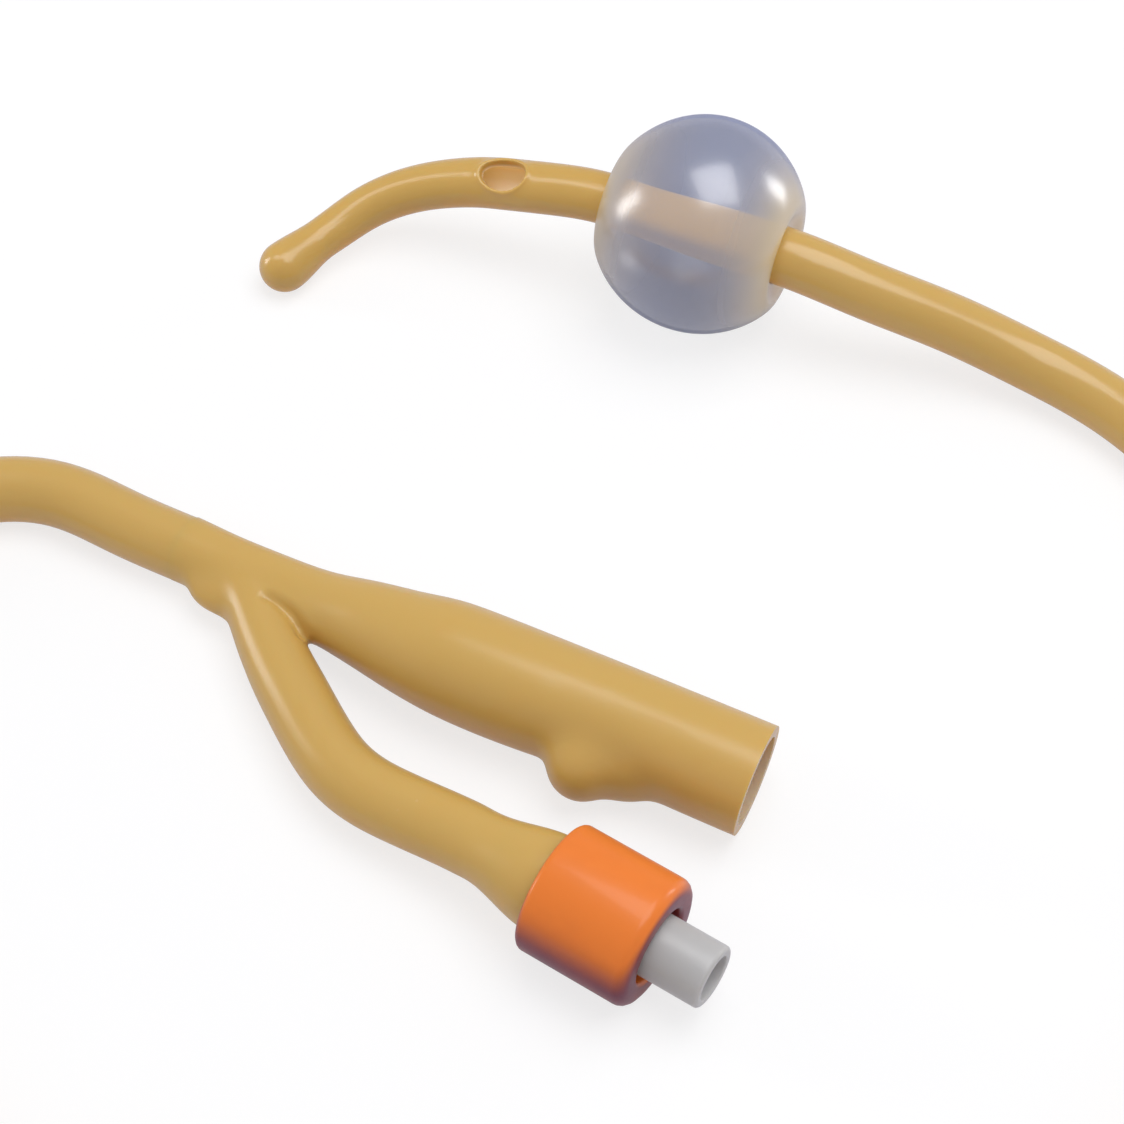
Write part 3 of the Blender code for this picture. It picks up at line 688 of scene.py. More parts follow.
def soften(mesh, rounds, share=1.0):
    """Every point moves towards the middle of its neighbours, by its share, in each round."""
    edges = np.empty(len(mesh.edges) * 2, np.int64)
    mesh.edges.foreach_get("vertices", edges)
    first, second = edges.reshape(-1, 2).T
    co = points_of(mesh)
    count = np.bincount(first, minlength=len(co)) + np.bincount(second, minlength=len(co))
    step = (0.5 * np.broadcast_to(share, len(co)))[:, None]
    for _ in range(rounds):
        total = np.zeros_like(co)
        for axis in range(3):
            total[:, axis] = np.bincount(first, co[second, axis], len(co))
            total[:, axis] += np.bincount(second, co[first, axis], len(co))
        middle = total / np.maximum(count, 1)[:, None]
        co += (middle - co) * step
    move_points(mesh, co)


def normals_of(mesh):
    """Which way each point faces, one row each."""
    facing = np.empty(len(mesh.vertices) * 3, np.float32)
    mesh.vertex_normals.foreach_get("vector", facing)
    return facing.reshape(-1, 3).astype(float)


def swell(apart, reach):
    """1 where the distance is 0, falling smoothly away over about this reach."""
    return np.exp(-((apart / reach) ** 2))


def tip_radius(at):
    """Outer radius of the tip at a distance from the end of the olive."""
    to_centre = OLIVE_RADIUS - np.minimum(at, OLIVE_RADIUS)
    dome = np.sqrt(np.maximum(OLIVE_RADIUS**2 - to_centre**2, 0))
    waist = OLIVE_RADIUS + (NECK_RADIUS - OLIVE_RADIUS) * ease(at, OLIVE_RADIUS, NECK_AT)
    slope = NECK_RADIUS + (TIP_RADIUS - NECK_RADIUS) * np.clip(
        (at - NECK_AT) / (TAPER_END - NECK_AT), 0.0, 1.0
    )
    return np.where(at < OLIVE_RADIUS, dome, np.where(at < NECK_AT, waist, slope))


tip_places = [Vector(p) for p in TIP_ROUTE]
tip_places += [
    balloon_point(-BALLOON_HALF_LENGTH),
    balloon_point(-BALLOON_HALF_LENGTH + TIP_IN_BALLOON + JOINT_GAP + LAP),
]
tip_line = smooth_route(tip_places, TIP_STEP)
tip_along = distances(tip_line)
pole = OLIVE_RADIUS * (1 - np.cos(np.radians(np.linspace(2, 88, POLE_RINGS))))
wanted = np.concatenate([
    pole, np.arange(OLIVE_RADIUS, tip_along[-1] - 2 * TIP_STEP, RING_STEP), tip_along[-1:]
])
rings = np.stack([np.interp(wanted, tip_along, tip_line[:, i]) for i in range(3)], 1)
tip_outer = tube_mesh("tip_outer", rings, tip_radius(wanted), TIP_SIDES, latex)
lumen_line = tip_line[tip_along > TIP_LUMEN_START][::6]
beyond = tip_line[-1] + (tip_line[-1] - tip_line[-10]) * 2.0
lumen_line = np.vstack([lumen_line, tip_line[-1], beyond])
tip_lumen = tube_mesh("tip_lumen", lumen_line, TIP_LUMEN_RADIUS, BORE_SIDES, latex)

at_eye = int(np.searchsorted(tip_along, EYE_AT))
before_eye, past_eye = tip_line[at_eye - EYE_HEADING_STEPS], tip_line[at_eye + EYE_HEADING_STEPS]
forward = Vector(past_eye - before_eye).normalized()
side = forward.cross(Vector((0, 0, 1))).normalized()
upward = side.cross(forward).normalized()
outward = (upward * math.cos(EYE_TURN) - side * math.sin(EYE_TURN)).normalized()
across = outward.cross(forward)
eye_centre = Vector(tip_line[at_eye]) + outward * TIP_RADIUS
eye_turn = Matrix((forward, across, outward)).transposed().to_4x4()
eye_size = Matrix.Diagonal((EYE_LENGTH / 2, EYE_WIDTH / 2, TIP_RADIUS, 1.0))
eye_tool = ball("eye_tool", Matrix.Translation(eye_centre) @ eye_turn @ eye_size, 64)
tip_mesh = cut(tip_outer, "tip_cut", tip_lumen, eye_tool)
tip_mesh = remeshed(tip_mesh, "tip_moulding", TIP_VOXEL)
soften(tip_mesh, TIP_SOFTENING)

tip_points = points_of(tip_mesh)
from_eye = tip_points - np.array(eye_centre)
along_eye = from_eye @ np.array(forward) / (EYE_LENGTH / 2)
across_eye = from_eye @ np.array(across) / (EYE_WIDTH / 2)
ring = np.hypot(along_eye, across_eye)
middle = np.array(tip_line[at_eye])
from_line = tip_points - middle
out_of_axis = from_line - np.outer(from_line @ np.array(forward), np.array(forward))
reach = np.linalg.norm(out_of_axis, axis=1)
outer_side = ease(reach, *(TIP_RADIUS * share for share in SKIN_BAND))
outer_side *= from_eye @ np.array(outward) > EYE_FLOOR
lip = swell(ring - LIP_AT, LIP_WIDTH) * LIP_HEIGHT
ditch = swell(ring - LIP_AT - DITCH_BEYOND, DITCH_WIDTH) * LIP_HEIGHT * DITCH_SHARE
tip_points += normals_of(tip_mesh) * ((lip - ditch) * outer_side)[:, None]
move_points(tip_mesh, tip_points)
near = np.abs(from_line @ np.array(forward)) < EYE_MARKS_REACH
hollow = (1 - ease(reach, *(TIP_LUMEN_RADIUS * share for share in BORE_BAND))) * near
# The eye's hollow gets a share of the painted glow, and the milky bore look with its painted
# light.
mark(tip_mesh, "inside", np.maximum(hollow * EYE_GLOW, in_balloon(tip_points)))
mark(tip_mesh, "milky", hollow)
mark(tip_mesh, "bare_tip", 1.0 - in_balloon(tip_points))
tip_moulding = add_piece(
    "tip_moulding", tip_mesh, "catheter", "coude_tip", finish=latex
)
# The tip has a softbox of its own, which would else show twice in the balloon
tip_only = bpy.data.collections.new("tip_only")
tip_only.objects.link(tip_moulding)
lamps["tip_box"].light_linking.receiver_collection = tip_only


# Forked funnel: one latex moulding that grows out of the shaft's end. The arm leaves under a
# web, a crease shows where it parts from the body, and a lobe stands on the body's inner side.
FUNNEL_RADIUS = 0.0052
FUNNEL_MOUTH_RADIUS = 0.0050
FUNNEL_MOUTH_X = 0.0314
FUNNEL_STRAIGHT_X = 0.0180
FUNNEL_Y = -0.01855
FUNNEL_WALL = 0.0015
FUNNEL_MOUTH_WALL = 0.0010
FUNNEL_BORE_THROAT = 0.0021
DRAIN_LUMEN_RADIUS = 0.00145
ARM_ROOT_RADIUS = 0.0027
ARM_RADIUS = 0.00312
ARM_END_RADIUS = 0.0044
ARM_FLARE_LENGTH = 0.0070
ARM_GROWTH_LENGTH = 0.0150
LOBES = [
    (0.0173, 0.0042, (0.0034, 0.0036, 0.0036)),
    (0.0194, 0.0038, (0.0048, 0.0023, 0.0034)),
]
LOBE_Z = 0.0043
WEB_AT = Vector((-0.0197, -0.02005, 0.0029))
WEB_SIZE = (0.0036, 0.0026, 0.0020)
FORK_ROUTE = [
    (-0.0218, -0.0178, 0.0031, 0.00305),
    (-0.0181, -0.01795, 0.0032, 0.00310),
    (-0.0150, -0.01805, 0.0034, 0.00312),
    (-0.0097, -0.0184, 0.0041, 0.00336),
    (-0.0075, -0.0185, 0.0044, 0.00368),
    (-0.00435, -0.0187, 0.0048, 0.00416),
    (-0.0012, -0.01885, 0.0050, 0.00464),
    (0.00185, -0.0189, 0.0052, 0.00505),
    (0.0048, -0.0189, 0.0052, 0.0052),
    (0.0110, -0.0188, 0.0052, 0.00518),
]
ARM_ROUTE = [
    (-0.0196, -0.0182, 0.0032),
    (-0.0170, -0.0199, 0.0033),
    (-0.0146, -0.0220, 0.0033),
    (-0.0125, -0.0239, 0.0033),
    (-0.01035, -0.0257, 0.0033),
    (-0.00805, -0.0275, 0.0034),
    (-0.0057, -0.0293, 0.0035),
    (-0.0036, -0.0308, 0.0036),
    (-0.0011, -0.03225, 0.0038),
    (0.0019, -0.0332, 0.0040),
    (0.0050, -0.0336, 0.0043),
    (0.00805, -0.03385, 0.0047),
    (0.0111, -0.0341, 0.0051),
]
VALVE_AT = Vector((0.02045, -0.03543, 0.00585))
VALVE_HEADING = math.radians(-7)
ARM_END = 0.0069
FUNNEL_VOXEL = 0.00020
FUNNEL_STEP = 0.0006
FUNNEL_BORE_STEP = 0.0008
BODY_SIDES = 96
ARM_SIDES = 72
FUNNEL_SHARP = math.radians(42)
BORE_MILKY = 0.6
TAIL_BORE_RADIUS = 0.0031
TAIL_BORE_START = -0.0045
ARM_STRAIGHT_START = -0.0050
# The cutting tools run past what they cut by this much, and the square ones are this large
TOOL_SPARE = 0.0010
TOOL_DEPTH = 0.010
MOUTH_TOOL_HALF = 0.016
START_TOOL_HALF = 0.006
# Where the fork and the lobe melt into the body, and how many rounds of softening they get
FORK_X = -0.0150
FORK_REACH = 0.0065
FORK_END_X = -0.0020
LOBE_RISE = (0.0120, 0.0140)
LOBE_FALL = (0.0235, 0.0262)
LOBE_SIDE_Y = -0.0195
LOBE_ROOT = (0.0176, FUNNEL_Y - 0.0040, FUNNEL_RADIUS + 0.0015)
LOBE_ROOT_SHAPE = (1.3, 1.0, 1.0)
ROOT_REACH = 0.0034
SKIN_SOFTENING = 8
FORK_SOFTENING = 60
ROOT_SOFTENING = 160
SPARE = 0.0030
CUFF_STANDS = 0.00006
CREASE = [
    (-0.0155, -0.0208), (-0.0142, -0.0207), (-0.0128, -0.0210), (-0.0116, -0.0214),
    (-0.0104, -0.0222),
]
CREASE_DEPTH = 0.00034
CREASE_WIDTH = 0.00042
CREASE_FADE = 0.0012
CREASE_END_X = -0.008
# The bead beside the crease: its place and width in widths of the crease, and its share of it
BEAD_BESIDE = 2.2
BEAD_WIDTH = 1.1
BEAD_SHARE = 0.3
MOUTH_SLANT = math.radians(4.0)
MOUTH_SETBACK = 0.0003


def valve_point(along):
    """A point on the valve's axis, measured from the collar's back face outwards."""
    heading = Vector((math.cos(VALVE_HEADING), math.sin(VALVE_HEADING), 0.0))
    return VALVE_AT + heading * along


def ellipsoid(name, at, size):
    """A level ellipsoid with these half lengths."""
    return ball(name, Matrix.Translation(at) @ Matrix.Diagonal((*size, 1.0)), 48)


def joined(name, *meshes):
    """One mesh of all the meshes, which are taken away."""
    form = bmesh.new()
    for mesh in meshes:
        form.from_mesh(mesh)
        bpy.data.meshes.remove(mesh)
    return mesh_of(form, name)


start = Vector(SHAFT_END)
into_funnel = (start - Vector(SHAFT_ROUTE[-1])).normalized()
body_places = [start - into_funnel * SPARE, start + into_funnel * JOINT_GAP]
body_radii = [SHAFT_FUNNEL_RADIUS + CUFF_STANDS] * 2
for x, y, z, radius in FORK_ROUTE:
    body_places.append(Vector((x, y, z)))
    body_radii.append(radius)
for x in (FUNNEL_STRAIGHT_X, FUNNEL_MOUTH_X, FUNNEL_MOUTH_X + SPARE):
    body_places.append(Vector((x, FUNNEL_Y, FUNNEL_RADIUS)))
    body_radii.append(FUNNEL_MOUTH_RADIUS)
body_line = smooth_route([(*p, r) for p, r in zip(body_places, body_radii)], FUNNEL_STEP)
body_form = tube_mesh("body_form", body_line[:, :3], body_line[:, 3], BODY_SIDES, latex)

arm_places = [Vector(p) for p in ARM_ROUTE]
arm_places += [valve_point(along) for along in (ARM_STRAIGHT_START, 0.0, ARM_END)]
arm_line = smooth_route(arm_places, FUNNEL_STEP)
arm_along = distances(arm_line)
flare_end = arm_along[-1] - ARM_END
grown = ARM_ROOT_RADIUS + (ARM_RADIUS - ARM_ROOT_RADIUS) * ease(arm_along, 0.0, ARM_GROWTH_LENGTH)
flare = ease(arm_along, flare_end - ARM_FLARE_LENGTH, flare_end)
arm_radii = grown + (ARM_END_RADIUS - grown) * flare
arm_form = tube_mesh("arm_form", arm_line, arm_radii, ARM_SIDES, latex)
forms = [body_form, arm_form, ellipsoid("web", WEB_AT, WEB_SIZE)]
for x, offset, size in LOBES:
    forms.append(ellipsoid("lobe", (x, FUNNEL_Y - offset, LOBE_Z), size))
funnel_mesh = remeshed(joined("funnel_forms", *forms), "funnel_skin", FUNNEL_VOXEL)

skin = points_of(funnel_mesh)
fork_zone = swell(skin[:, 0] - FORK_X, FORK_REACH) * (skin[:, 0] < FORK_END_X)
lobe_zone = ease(skin[:, 0], *LOBE_RISE) * (1 - ease(skin[:, 0], *LOBE_FALL))
lobe_zone *= skin[:, 1] < LOBE_SIDE_Y
soften(funnel_mesh, SKIN_SOFTENING)
soften(funnel_mesh, FORK_SOFTENING, np.clip(fork_zone + lobe_zone, 0.0, 1.0))
skin = points_of(funnel_mesh)
from_web = np.linalg.norm(skin - np.array(WEB_AT), axis=1)
from_lobe = np.linalg.norm((skin - np.array(LOBE_ROOT)) / LOBE_ROOT_SHAPE, axis=1)
roots = swell(from_web, ROOT_REACH) + swell(from_lobe, ROOT_REACH)
soften(funnel_mesh, ROOT_SOFTENING, np.clip(roots, 0.0, 1.0))

skin = points_of(funnel_mesh)
facing = normals_of(funnel_mesh)
crease_line = smooth_route([(x, y, 0.0) for x, y in CREASE], 0.0002)[:, :2]
here = np.where((skin[:, 0] < CREASE_END_X) & (facing[:, 2] > 0.1))[0]
gap = skin[here, None, :2] - crease_line[None]
apart = np.sqrt((gap**2).sum(2))
closest = apart.argmin(1)
run = np.gradient(crease_line, axis=0)
run /= np.linalg.norm(run, axis=1)[:, None]
offset = gap[np.arange(len(here)), closest]
side = offset[:, 1] * run[closest, 0] - offset[:, 0] * run[closest, 1]
along_crease = distances(crease_line)[closest]
fade = ease(along_crease, -0.0001, CREASE_FADE) * ease(facing[here, 2], 0.1, 0.5)
groove = swell(apart.min(1), CREASE_WIDTH)
bead = swell(side - BEAD_BESIDE * CREASE_WIDTH, BEAD_WIDTH * CREASE_WIDTH) * BEAD_SHARE
bead *= swell(apart.min(1) - np.abs(side), CREASE_WIDTH)
skin[here] += facing[here] * ((bead - groove) * fade * CREASE_DEPTH)[:, None]
move_points(funnel_mesh, skin)


def block(name, low_x, high_x, half, turn):
    """A square block between two places on its own X, set in place by a matrix, for cuts."""
    form = bmesh.new()
    bmesh.ops.create_cube(form, size=1.0)
    low = Vector((low_x, -half, -half))
    size = Vector((high_x, half, half)) - low
    place = Matrix.Translation(low + size / 2) @ Matrix.Diagonal((*size, 1.0))
    bmesh.ops.transform(form, matrix=turn @ place, verts=form.verts)
    return mesh_of(form, name)


bore_places = [body_places[0] - into_funnel * TOOL_SPARE] + body_places[1:]
bore_radii = [DRAIN_LUMEN_RADIUS] * 5
bore_radii += [max(radius - FUNNEL_WALL, FUNNEL_BORE_THROAT) for radius in body_radii[5:-2]]
bore_radii += [FUNNEL_MOUTH_RADIUS - FUNNEL_MOUTH_WALL] * 2
bore_line = smooth_route([(*p, r) for p, r in zip(bore_places, bore_radii)], FUNNEL_BORE_STEP)
bore_tool = tube_mesh("bore_tool", bore_line[:, :3], bore_line[:, 3], ARM_SIDES, latex)
mouth_hinge = towards_camera.cross(Vector((1, 0, 0))).normalized()
far_side = mouth_hinge.cross(Vector((1, 0, 0))).normalized() * FUNNEL_MOUTH_RADIUS
mouth_turn = Matrix.Translation(
    Vector((FUNNEL_MOUTH_X - MOUTH_SETBACK, FUNNEL_Y, FUNNEL_RADIUS)) + far_side
)
mouth_turn = mouth_turn @ Matrix.Rotation(MOUTH_SLANT, 4, mouth_hinge)
mouth_tool = block("mouth_tool", 0.0, TOOL_DEPTH, MOUTH_TOOL_HALF, mouth_turn)
shaft_heading = into_funnel.to_track_quat("X", "Z").to_matrix().to_4x4()
shaft_side = Matrix.Translation(start - into_funnel * LAP) @ shaft_heading
start_tool = block("start_tool", -TOOL_DEPTH, 0.0, START_TOOL_HALF, shaft_side)
tail_line = [valve_point(TAIL_BORE_START), valve_point(ARM_END + 2 * TOOL_SPARE)]
tail_tool = tube_mesh("tail_tool", tail_line, TAIL_BORE_RADIUS, BORE_SIDES, latex)
funnel_mesh = cut(funnel_mesh, "funnel_moulding", mouth_tool, start_tool, bore_tool, tail_tool)
funnel_mesh.shade_smooth()
funnel_mesh.set_sharp_from_angle(angle=FUNNEL_SHARP)
skin = points_of(funnel_mesh)
from_axis = np.hypot(skin[:, 1] - FUNNEL_Y, skin[:, 2] - FUNNEL_RADIUS)
in_bore = from_axis < FUNNEL_MOUTH_RADIUS - FUNNEL_MOUTH_WALL * 0.6
in_bore &= skin[:, 0] > FUNNEL_STRAIGHT_X
mark(funnel_mesh, "milky", in_bore * BORE_MILKY)
add_piece("funnel_moulding", funnel_mesh, "catheter", "funnel", finish=satin_latex)


# Balloon: a thin sleeve of clear rubber, blown up with water, bonded round the tube at both
# ends. Near its ends the film is less stretched, and so thicker and creamier.
BALLOON_RADIUS = 0.0103
BALLOON_WALL = 0.00035
BALLOON_DIMPLE = 0.0016
BALLOON_DIMPLE_REACH = 0.0015
BALLOON_SIDE = 0.0007
FILM_COLOUR = (0.41, 0.45, 0.60)
FILM_NECK_COLOUR = (0.84, 0.67, 0.38)
FILM_SHOWS = 0.33
FILM_NECK_SHOWS = 0.82
NECK_FADE_START = 0.0042
NECK_FADE_END = 0.0106
FILM_RINGS = 97
FILM_SIDES = 144
FILM_FIT = 0.00005
SHARP_ANGLE = math.radians(38)
WELD = 1e-6


def fillet(outline, count=5):
    """A closed outline of (radius, height, rounding) corners, with each rounded by an arc."""
    corners = [np.array(c[:2], float) for c in outline]
    result = []
    for i, corner in enumerate(corners):
        rounding = outline[i][2] if len(outline[i]) > 2 else 0.0
        if rounding <= 0:
            result.append(tuple(corner))
            continue
        before = corners[i - 1] - corner
        after = corners[(i + 1) % len(corners)] - corner
        back = before / np.linalg.norm(before)
        on = after / np.linalg.norm(after)
        half = math.acos(float(np.clip(back @ on, -1.0, 1.0))) / 2
        reach = min(
            rounding / math.tan(half), 0.49 * np.linalg.norm(before), 0.49 * np.linalg.norm(after)
        )
        centre = corner + (back + on) / np.linalg.norm(back + on) * reach / math.cos(half)
        radius = reach * math.tan(half)
        first = corner + back * reach - centre
        last = corner + on * reach - centre
        for step in range(count + 1):
            mixed = first * (1 - step / count) + last * (step / count)
            result.append(tuple(centre + mixed / np.linalg.norm(mixed) * radius))
    return result


def weld(mesh):
    """Merges points that coincide and turns all faces outwards."""
    form = bmesh.new()
    form.from_mesh(mesh)
    bmesh.ops.remove_doubles(form, verts=form.verts, dist=WELD)
    bmesh.ops.recalc_face_normals(form, faces=form.faces)
    form.to_mesh(mesh)
    form.free()


def turned(name, outline, steps, place, finish):
    """A Screw modifier turns the closed outline (radius, height) round Z, then it is placed."""
    mesh = bpy.data.meshes.new(name)
    edges = [(i, (i + 1) % len(outline)) for i in range(len(outline))]
    mesh.from_pydata([(radius, 0.0, height) for radius, height in outline], edges, [])
    work = holder_for(mesh)
    screw = work.modifiers.new("turn", "SCREW")
    screw.angle = math.tau
    screw.steps = steps
    screw.render_steps = steps
    screw.use_merge_vertices = True
    screw.merge_threshold = WELD
    made = plain_mesh(work, name)
    weld(made)
    made.transform(place)
    made.shade_smooth()
    made.set_sharp_from_angle(angle=SHARP_ANGLE)
    made.materials.clear()
    made.materials.append(finish)
    return made


def on_axis(at, heading):
    """Stands a turned piece's own Z along a level heading from a point."""
    return Matrix.Translation(at) @ Matrix.Rotation(heading, 4, "Z") @ Matrix.Rotation(
        math.pi / 2, 4, "Y"
    )


film = Finish(
    "balloon_film",
    Roughness=0.30,
    Specular_IOR_Level=1.0,
    Coat_Weight=1.0,
    Coat_Roughness=0.24,
    Coat_IOR=2.3,
)
near_neck = film.attribute("neck")
haze = film.noise(260.0, 2.0)
tint = film.colour(near_neck, FILM_COLOUR, FILM_NECK_COLOUR)
film.feed(
    Base_Color=tint,
    Alpha=FILM_SHOWS + near_neck * (FILM_NECK_SHOWS - FILM_SHOWS) + (haze - 0.5) * 0.05,
)


def film_face(half_length, radius, hole):
    """One face of the blown sleeve, from neck to neck, with its ends drawn in round the tube."""
    edge = math.asin(hole / radius)
    angles = np.linspace(edge, math.pi - edge, FILM_RINGS)
    at = radius * np.sin(angles)
    height = half_length * np.cos(angles)
    drawn_in = BALLOON_DIMPLE * swell(at - hole, BALLOON_DIMPLE_REACH)
    return np.stack([at, height - np.sign(height) * drawn_in], 1)


hole = SHAFT_TIP_RADIUS + FILM_FIT
outside = film_face(BALLOON_HALF_LENGTH, BALLOON_RADIUS, hole)
within = film_face(BALLOON_HALF_LENGTH - BALLOON_WALL, BALLOON_RADIUS - BALLOON_WALL, hole)
sleeve = np.vstack([outside, within[::-1]]).tolist()
balloon_mesh = turned("balloon_film", sleeve, FILM_SIDES, Matrix.Identity(4), film.material)
bulge = points_of(balloon_mesh)
from_tube = np.hypot(bulge[:, 0], bulge[:, 1])
bulge[:, 1] += BALLOON_SIDE * (from_tube - hole) / (BALLOON_RADIUS - hole)
move_points(balloon_mesh, bulge)
mark(balloon_mesh, "neck", 1 - ease(from_tube, NECK_FADE_START, NECK_FADE_END))
balloon_mesh.transform(on_axis(BALLOON_AT, BALLOON_HEADING))
balloon_mesh.update()
add_piece("balloon_film", balloon_mesh, "catheter", "balloon")


# Size collar: a glossy orange moulding, pushed over the arm's flared end. Its colour is the
# code for the gauge. The stem comes out of a hole in its rounded front.
COLLAR_RADIUS = 0.00585
COLLAR_LENGTH = 0.0105
COLLAR_LIP = 0.0016
COLLAR_MOUTH_RADIUS = 0.0034
ORANGE = (0.93, 0.235, 0.035)
SWIRL_AND_SHADE_ORANGE = (0.18, 0.021, 0.046)
COLLAR_SIDES = 128

orange = Finish(
    "orange_plastic",
    Coat_Weight=0.25,
    Coat_Roughness=0.16,
    Specular_IOR_Level=0.25,
    Subsurface_Weight=0.06,
    Subsurface_Radius=(0.003, 0.001, 0.0005),
    Subsurface_Scale=1.0,
)
swirl = orange.noise(240.0, 3.0)
frost = orange.noise(1900.0, 2.0)
# Painted shade: the orange darkens to deep purple-brown where the collar faces down, mixed with
# the swirl's own tone.
painted_light_and_shade_below = orange.facing_up().ramp(0.66, 0.0) * 0.95
orange.feed(
    Base_Color=orange.colour(painted_light_and_shade_below + (swirl - 0.5) * 0.25, ORANGE, SWIRL_AND_SHADE_ORANGE),
    Roughness=0.32 + frost * 0.08,
    Normal=orange.bump(frost * 0.4 + swirl * 0.6, 0.00004, 0.5),
)
collar_bore = ARM_END_RADIUS + JOINT_GAP
collar_outline = fillet([
    (COLLAR_MOUTH_RADIUS, COLLAR_LENGTH, 0.0004),
    (COLLAR_RADIUS, COLLAR_LENGTH, 0.0011),
    (COLLAR_RADIUS, 0.0, 0.0007),
    (collar_bore, 0.0, 0.0003),
    (collar_bore, COLLAR_LENGTH - COLLAR_LIP, 0.0002),
    (COLLAR_MOUTH_RADIUS, COLLAR_LENGTH - COLLAR_LIP, 0.0001),
])
valve_place = on_axis(VALVE_AT, VALVE_HEADING)
collar_mesh = turned("collar_ring", collar_outline, COLLAR_SIDES, valve_place, orange.material)
add_piece("collar_ring", collar_mesh, "catheter", "size_collar")


# Valve housing: natural plastic, moulded in one with the tapered socket, the flange that the
# collar's lip holds, and the barbed tail inside the arm.
FLANGE_RADIUS = 0.0043
FLANGE_THICKNESS = 0.0014
STEM_RADIUS = 0.00283
STEM_OUT = 0.00515
LUER_RADIUS = 0.0020
LUER_DEPTH = 0.0068
LUER_TAPER = 0.03
VALVE_WEB = 0.0006
VALVE_HOLE_RADIUS = 0.00104
TAIL_RADIUS = 0.0024
TAIL_LENGTH = 0.0095
CAVITY_RADIUS = 0.0018
BARB_HEIGHT = 0.0004
BARB_LENGTH = 0.0018
BARBS = 3
STEM_SIDES = 96
IVORY = (0.525, 0.52, 0.51)
FLOW_AND_LIT_IVORY = (0.56, 0.545, 0.55)
luer_end_radius = LUER_RADIUS - LUER_DEPTH * LUER_TAPER
flange_front = COLLAR_LENGTH - COLLAR_LIP - JOINT_GAP
flange_back = flange_front - FLANGE_THICKNESS
tail_end = flange_back - TAIL_LENGTH
stem_end = COLLAR_LENGTH + STEM_OUT
luer_bottom = stem_end - LUER_DEPTH
web_underside = luer_bottom - VALVE_WEB

natural = Finish(
    "natural_plastic",
    Coat_Weight=0.15,
    Coat_Roughness=0.2,
    Subsurface_Weight=0.30,
    Subsurface_Radius=(0.0025, 0.0025, 0.0028),
    Subsurface_Scale=1.0,
)
flow = natural.noise(300.0, 3.0)
matt = natural.noise(2200.0, 2.0)
# Painted light: the plastic is lighter and cooler where it faces down, mixed with the flow's own
# tone.
painted_light_and_shade_below = natural.facing_up().ramp(0.5, -0.8) * 0.8
natural.feed(
    Base_Color=natural.colour(painted_light_and_shade_below + (flow - 0.5) * 0.2, IVORY, FLOW_AND_LIT_IVORY),
    Roughness=0.34 + matt * 0.12,
    Normal=natural.bump(matt * 0.5 + flow * 0.5, 0.00003, 0.5),
)
housing_outline = [
    (LUER_RADIUS, stem_end, 0.00015),
    (STEM_RADIUS, stem_end, 0.00035),
    (STEM_RADIUS, flange_front, 0.0002),
    (FLANGE_RADIUS, flange_front, 0.0003),
    (FLANGE_RADIUS, flange_back, 0.0002),
    (TAIL_RADIUS, flange_back),
]
for i in range(BARBS, 0, -1):
    barb_at = tail_end + BARB_LENGTH * i
    housing_outline += [(TAIL_RADIUS, barb_at), (TAIL_RADIUS + BARB_HEIGHT, barb_at, 0.00008)]
housing_outline += [
    (TAIL_RADIUS, tail_end, 0.0001),
    (CAVITY_RADIUS, tail_end),
    (CAVITY_RADIUS, web_underside),
    (VALVE_HOLE_RADIUS, web_underside),
    (VALVE_HOLE_RADIUS, luer_bottom),
    (luer_end_radius, luer_bottom, 0.0002),
]
housing_mesh = turned(
    "valve_stem", fillet(housing_outline), STEM_SIDES, valve_place, natural.material
)
add_piece("valve_stem", housing_mesh, "catheter", "valve_housing")


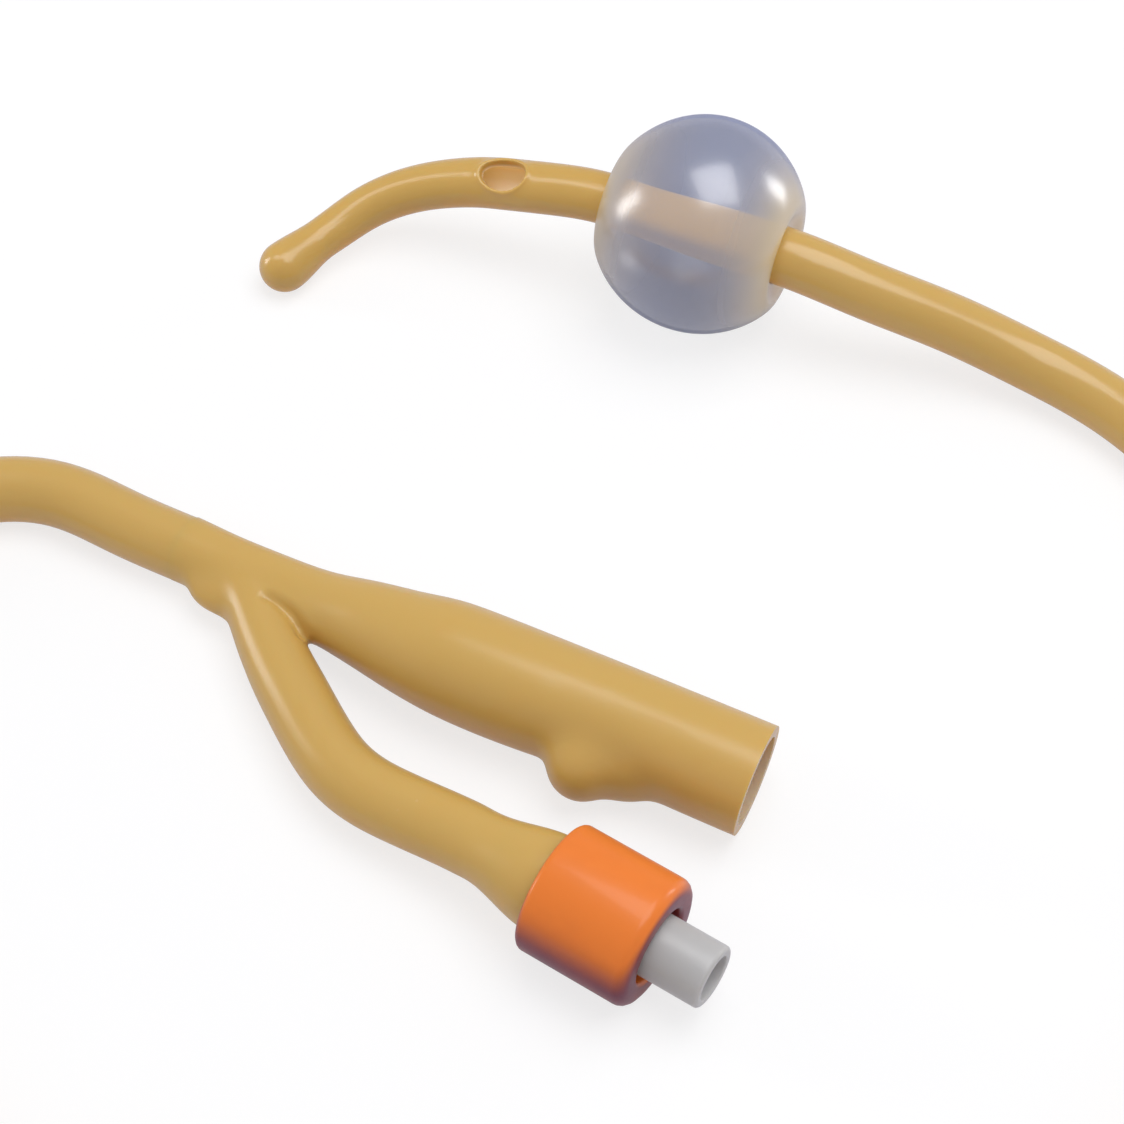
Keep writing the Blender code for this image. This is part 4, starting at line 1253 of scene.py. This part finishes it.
# Spring: a coil of steel wire with closed ends, between the tail's plug and the plunger's
# disc.
WIRE_RADIUS = 0.00015
COIL_RADIUS = 0.0011
COIL_TURNS = 5
CLOSED_PITCH = 0.00036
STEPS_A_TURN = 40
WIRE_SIDES = 12
DARK_STEEL = (0.52, 0.53, 0.55)
BRIGHT_STEEL = (0.66, 0.66, 0.67)
VALVE_FIT = 0.00015
WASHER_THICKNESS = 0.0006
DISC_THICKNESS = 0.0006
PLUG_SPIGOT = 0.0012
PLUNGER_TRAVEL = 0.0012
plug_face = tail_end + PLUG_SPIGOT
disc_underside = web_underside - 2 * VALVE_FIT - WASHER_THICKNESS - DISC_THICKNESS
coil_low = plug_face + WIRE_RADIUS + VALVE_FIT
coil_high = disc_underside - WIRE_RADIUS - VALVE_FIT

steel = Finish("spring_steel", Metallic=1.0, Roughness=0.28)
drawn = steel.noise(2600.0, 2.0)
steel.feed(
    Base_Color=steel.colour(drawn, DARK_STEEL, BRIGHT_STEEL),
    Roughness=0.22 + drawn * 0.16,
)
all_turns = COIL_TURNS + 2
turned_so_far = np.linspace(0.0, all_turns, STEPS_A_TURN * all_turns + 1)
first_turn = np.minimum(turned_so_far, 1.0)
open_turns = np.clip(turned_so_far - 1.0, 0.0, COIL_TURNS)
last_turn = np.maximum(turned_so_far - 1.0 - COIL_TURNS, 0.0)
open_pitch = (coil_high - coil_low - 2 * CLOSED_PITCH) / COIL_TURNS
coil_line = np.stack([
    COIL_RADIUS * np.cos(math.tau * turned_so_far),
    COIL_RADIUS * np.sin(math.tau * turned_so_far),
    coil_low + CLOSED_PITCH * (first_turn + last_turn) + open_pitch * open_turns,
], axis=1)
coil_mesh = tube_mesh("spring_coil", coil_line, WIRE_RADIUS, WIRE_SIDES, steel.material)
coil_mesh.transform(valve_place)
spring_coil = add_piece(
    "spring_coil", coil_mesh, "catheter", "valve_spring"
)
tuple(valve_point(1.0) - valve_point(0.0))
tuple(valve_point(plug_face))
1.0 - PLUNGER_TRAVEL / (disc_underside - plug_face)
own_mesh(spring_coil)


# Inside the valve: the plunger with its rubber washer, and the plug that closes the tail.
# They stay as they are built, in their own finishes.
BLACK_RUBBER = (0.022, 0.022, 0.025)
BLOOMED_RUBBER = (0.05, 0.05, 0.052)
washer = Finish("washer_rubber", Roughness=0.6)
bloom = washer.noise(1500.0, 3.0)
washer.feed(
    Base_Color=washer.colour(bloom, BLACK_RUBBER, BLOOMED_RUBBER),
    Roughness=0.5 + bloom * 0.25,
)
for node, finish in (
    ("valve_plunger", natural), ("tail_plug", natural), ("valve_seal", washer)
):
    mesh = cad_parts[node].data
    mesh.materials.clear()
    mesh.materials.append(finish.material)
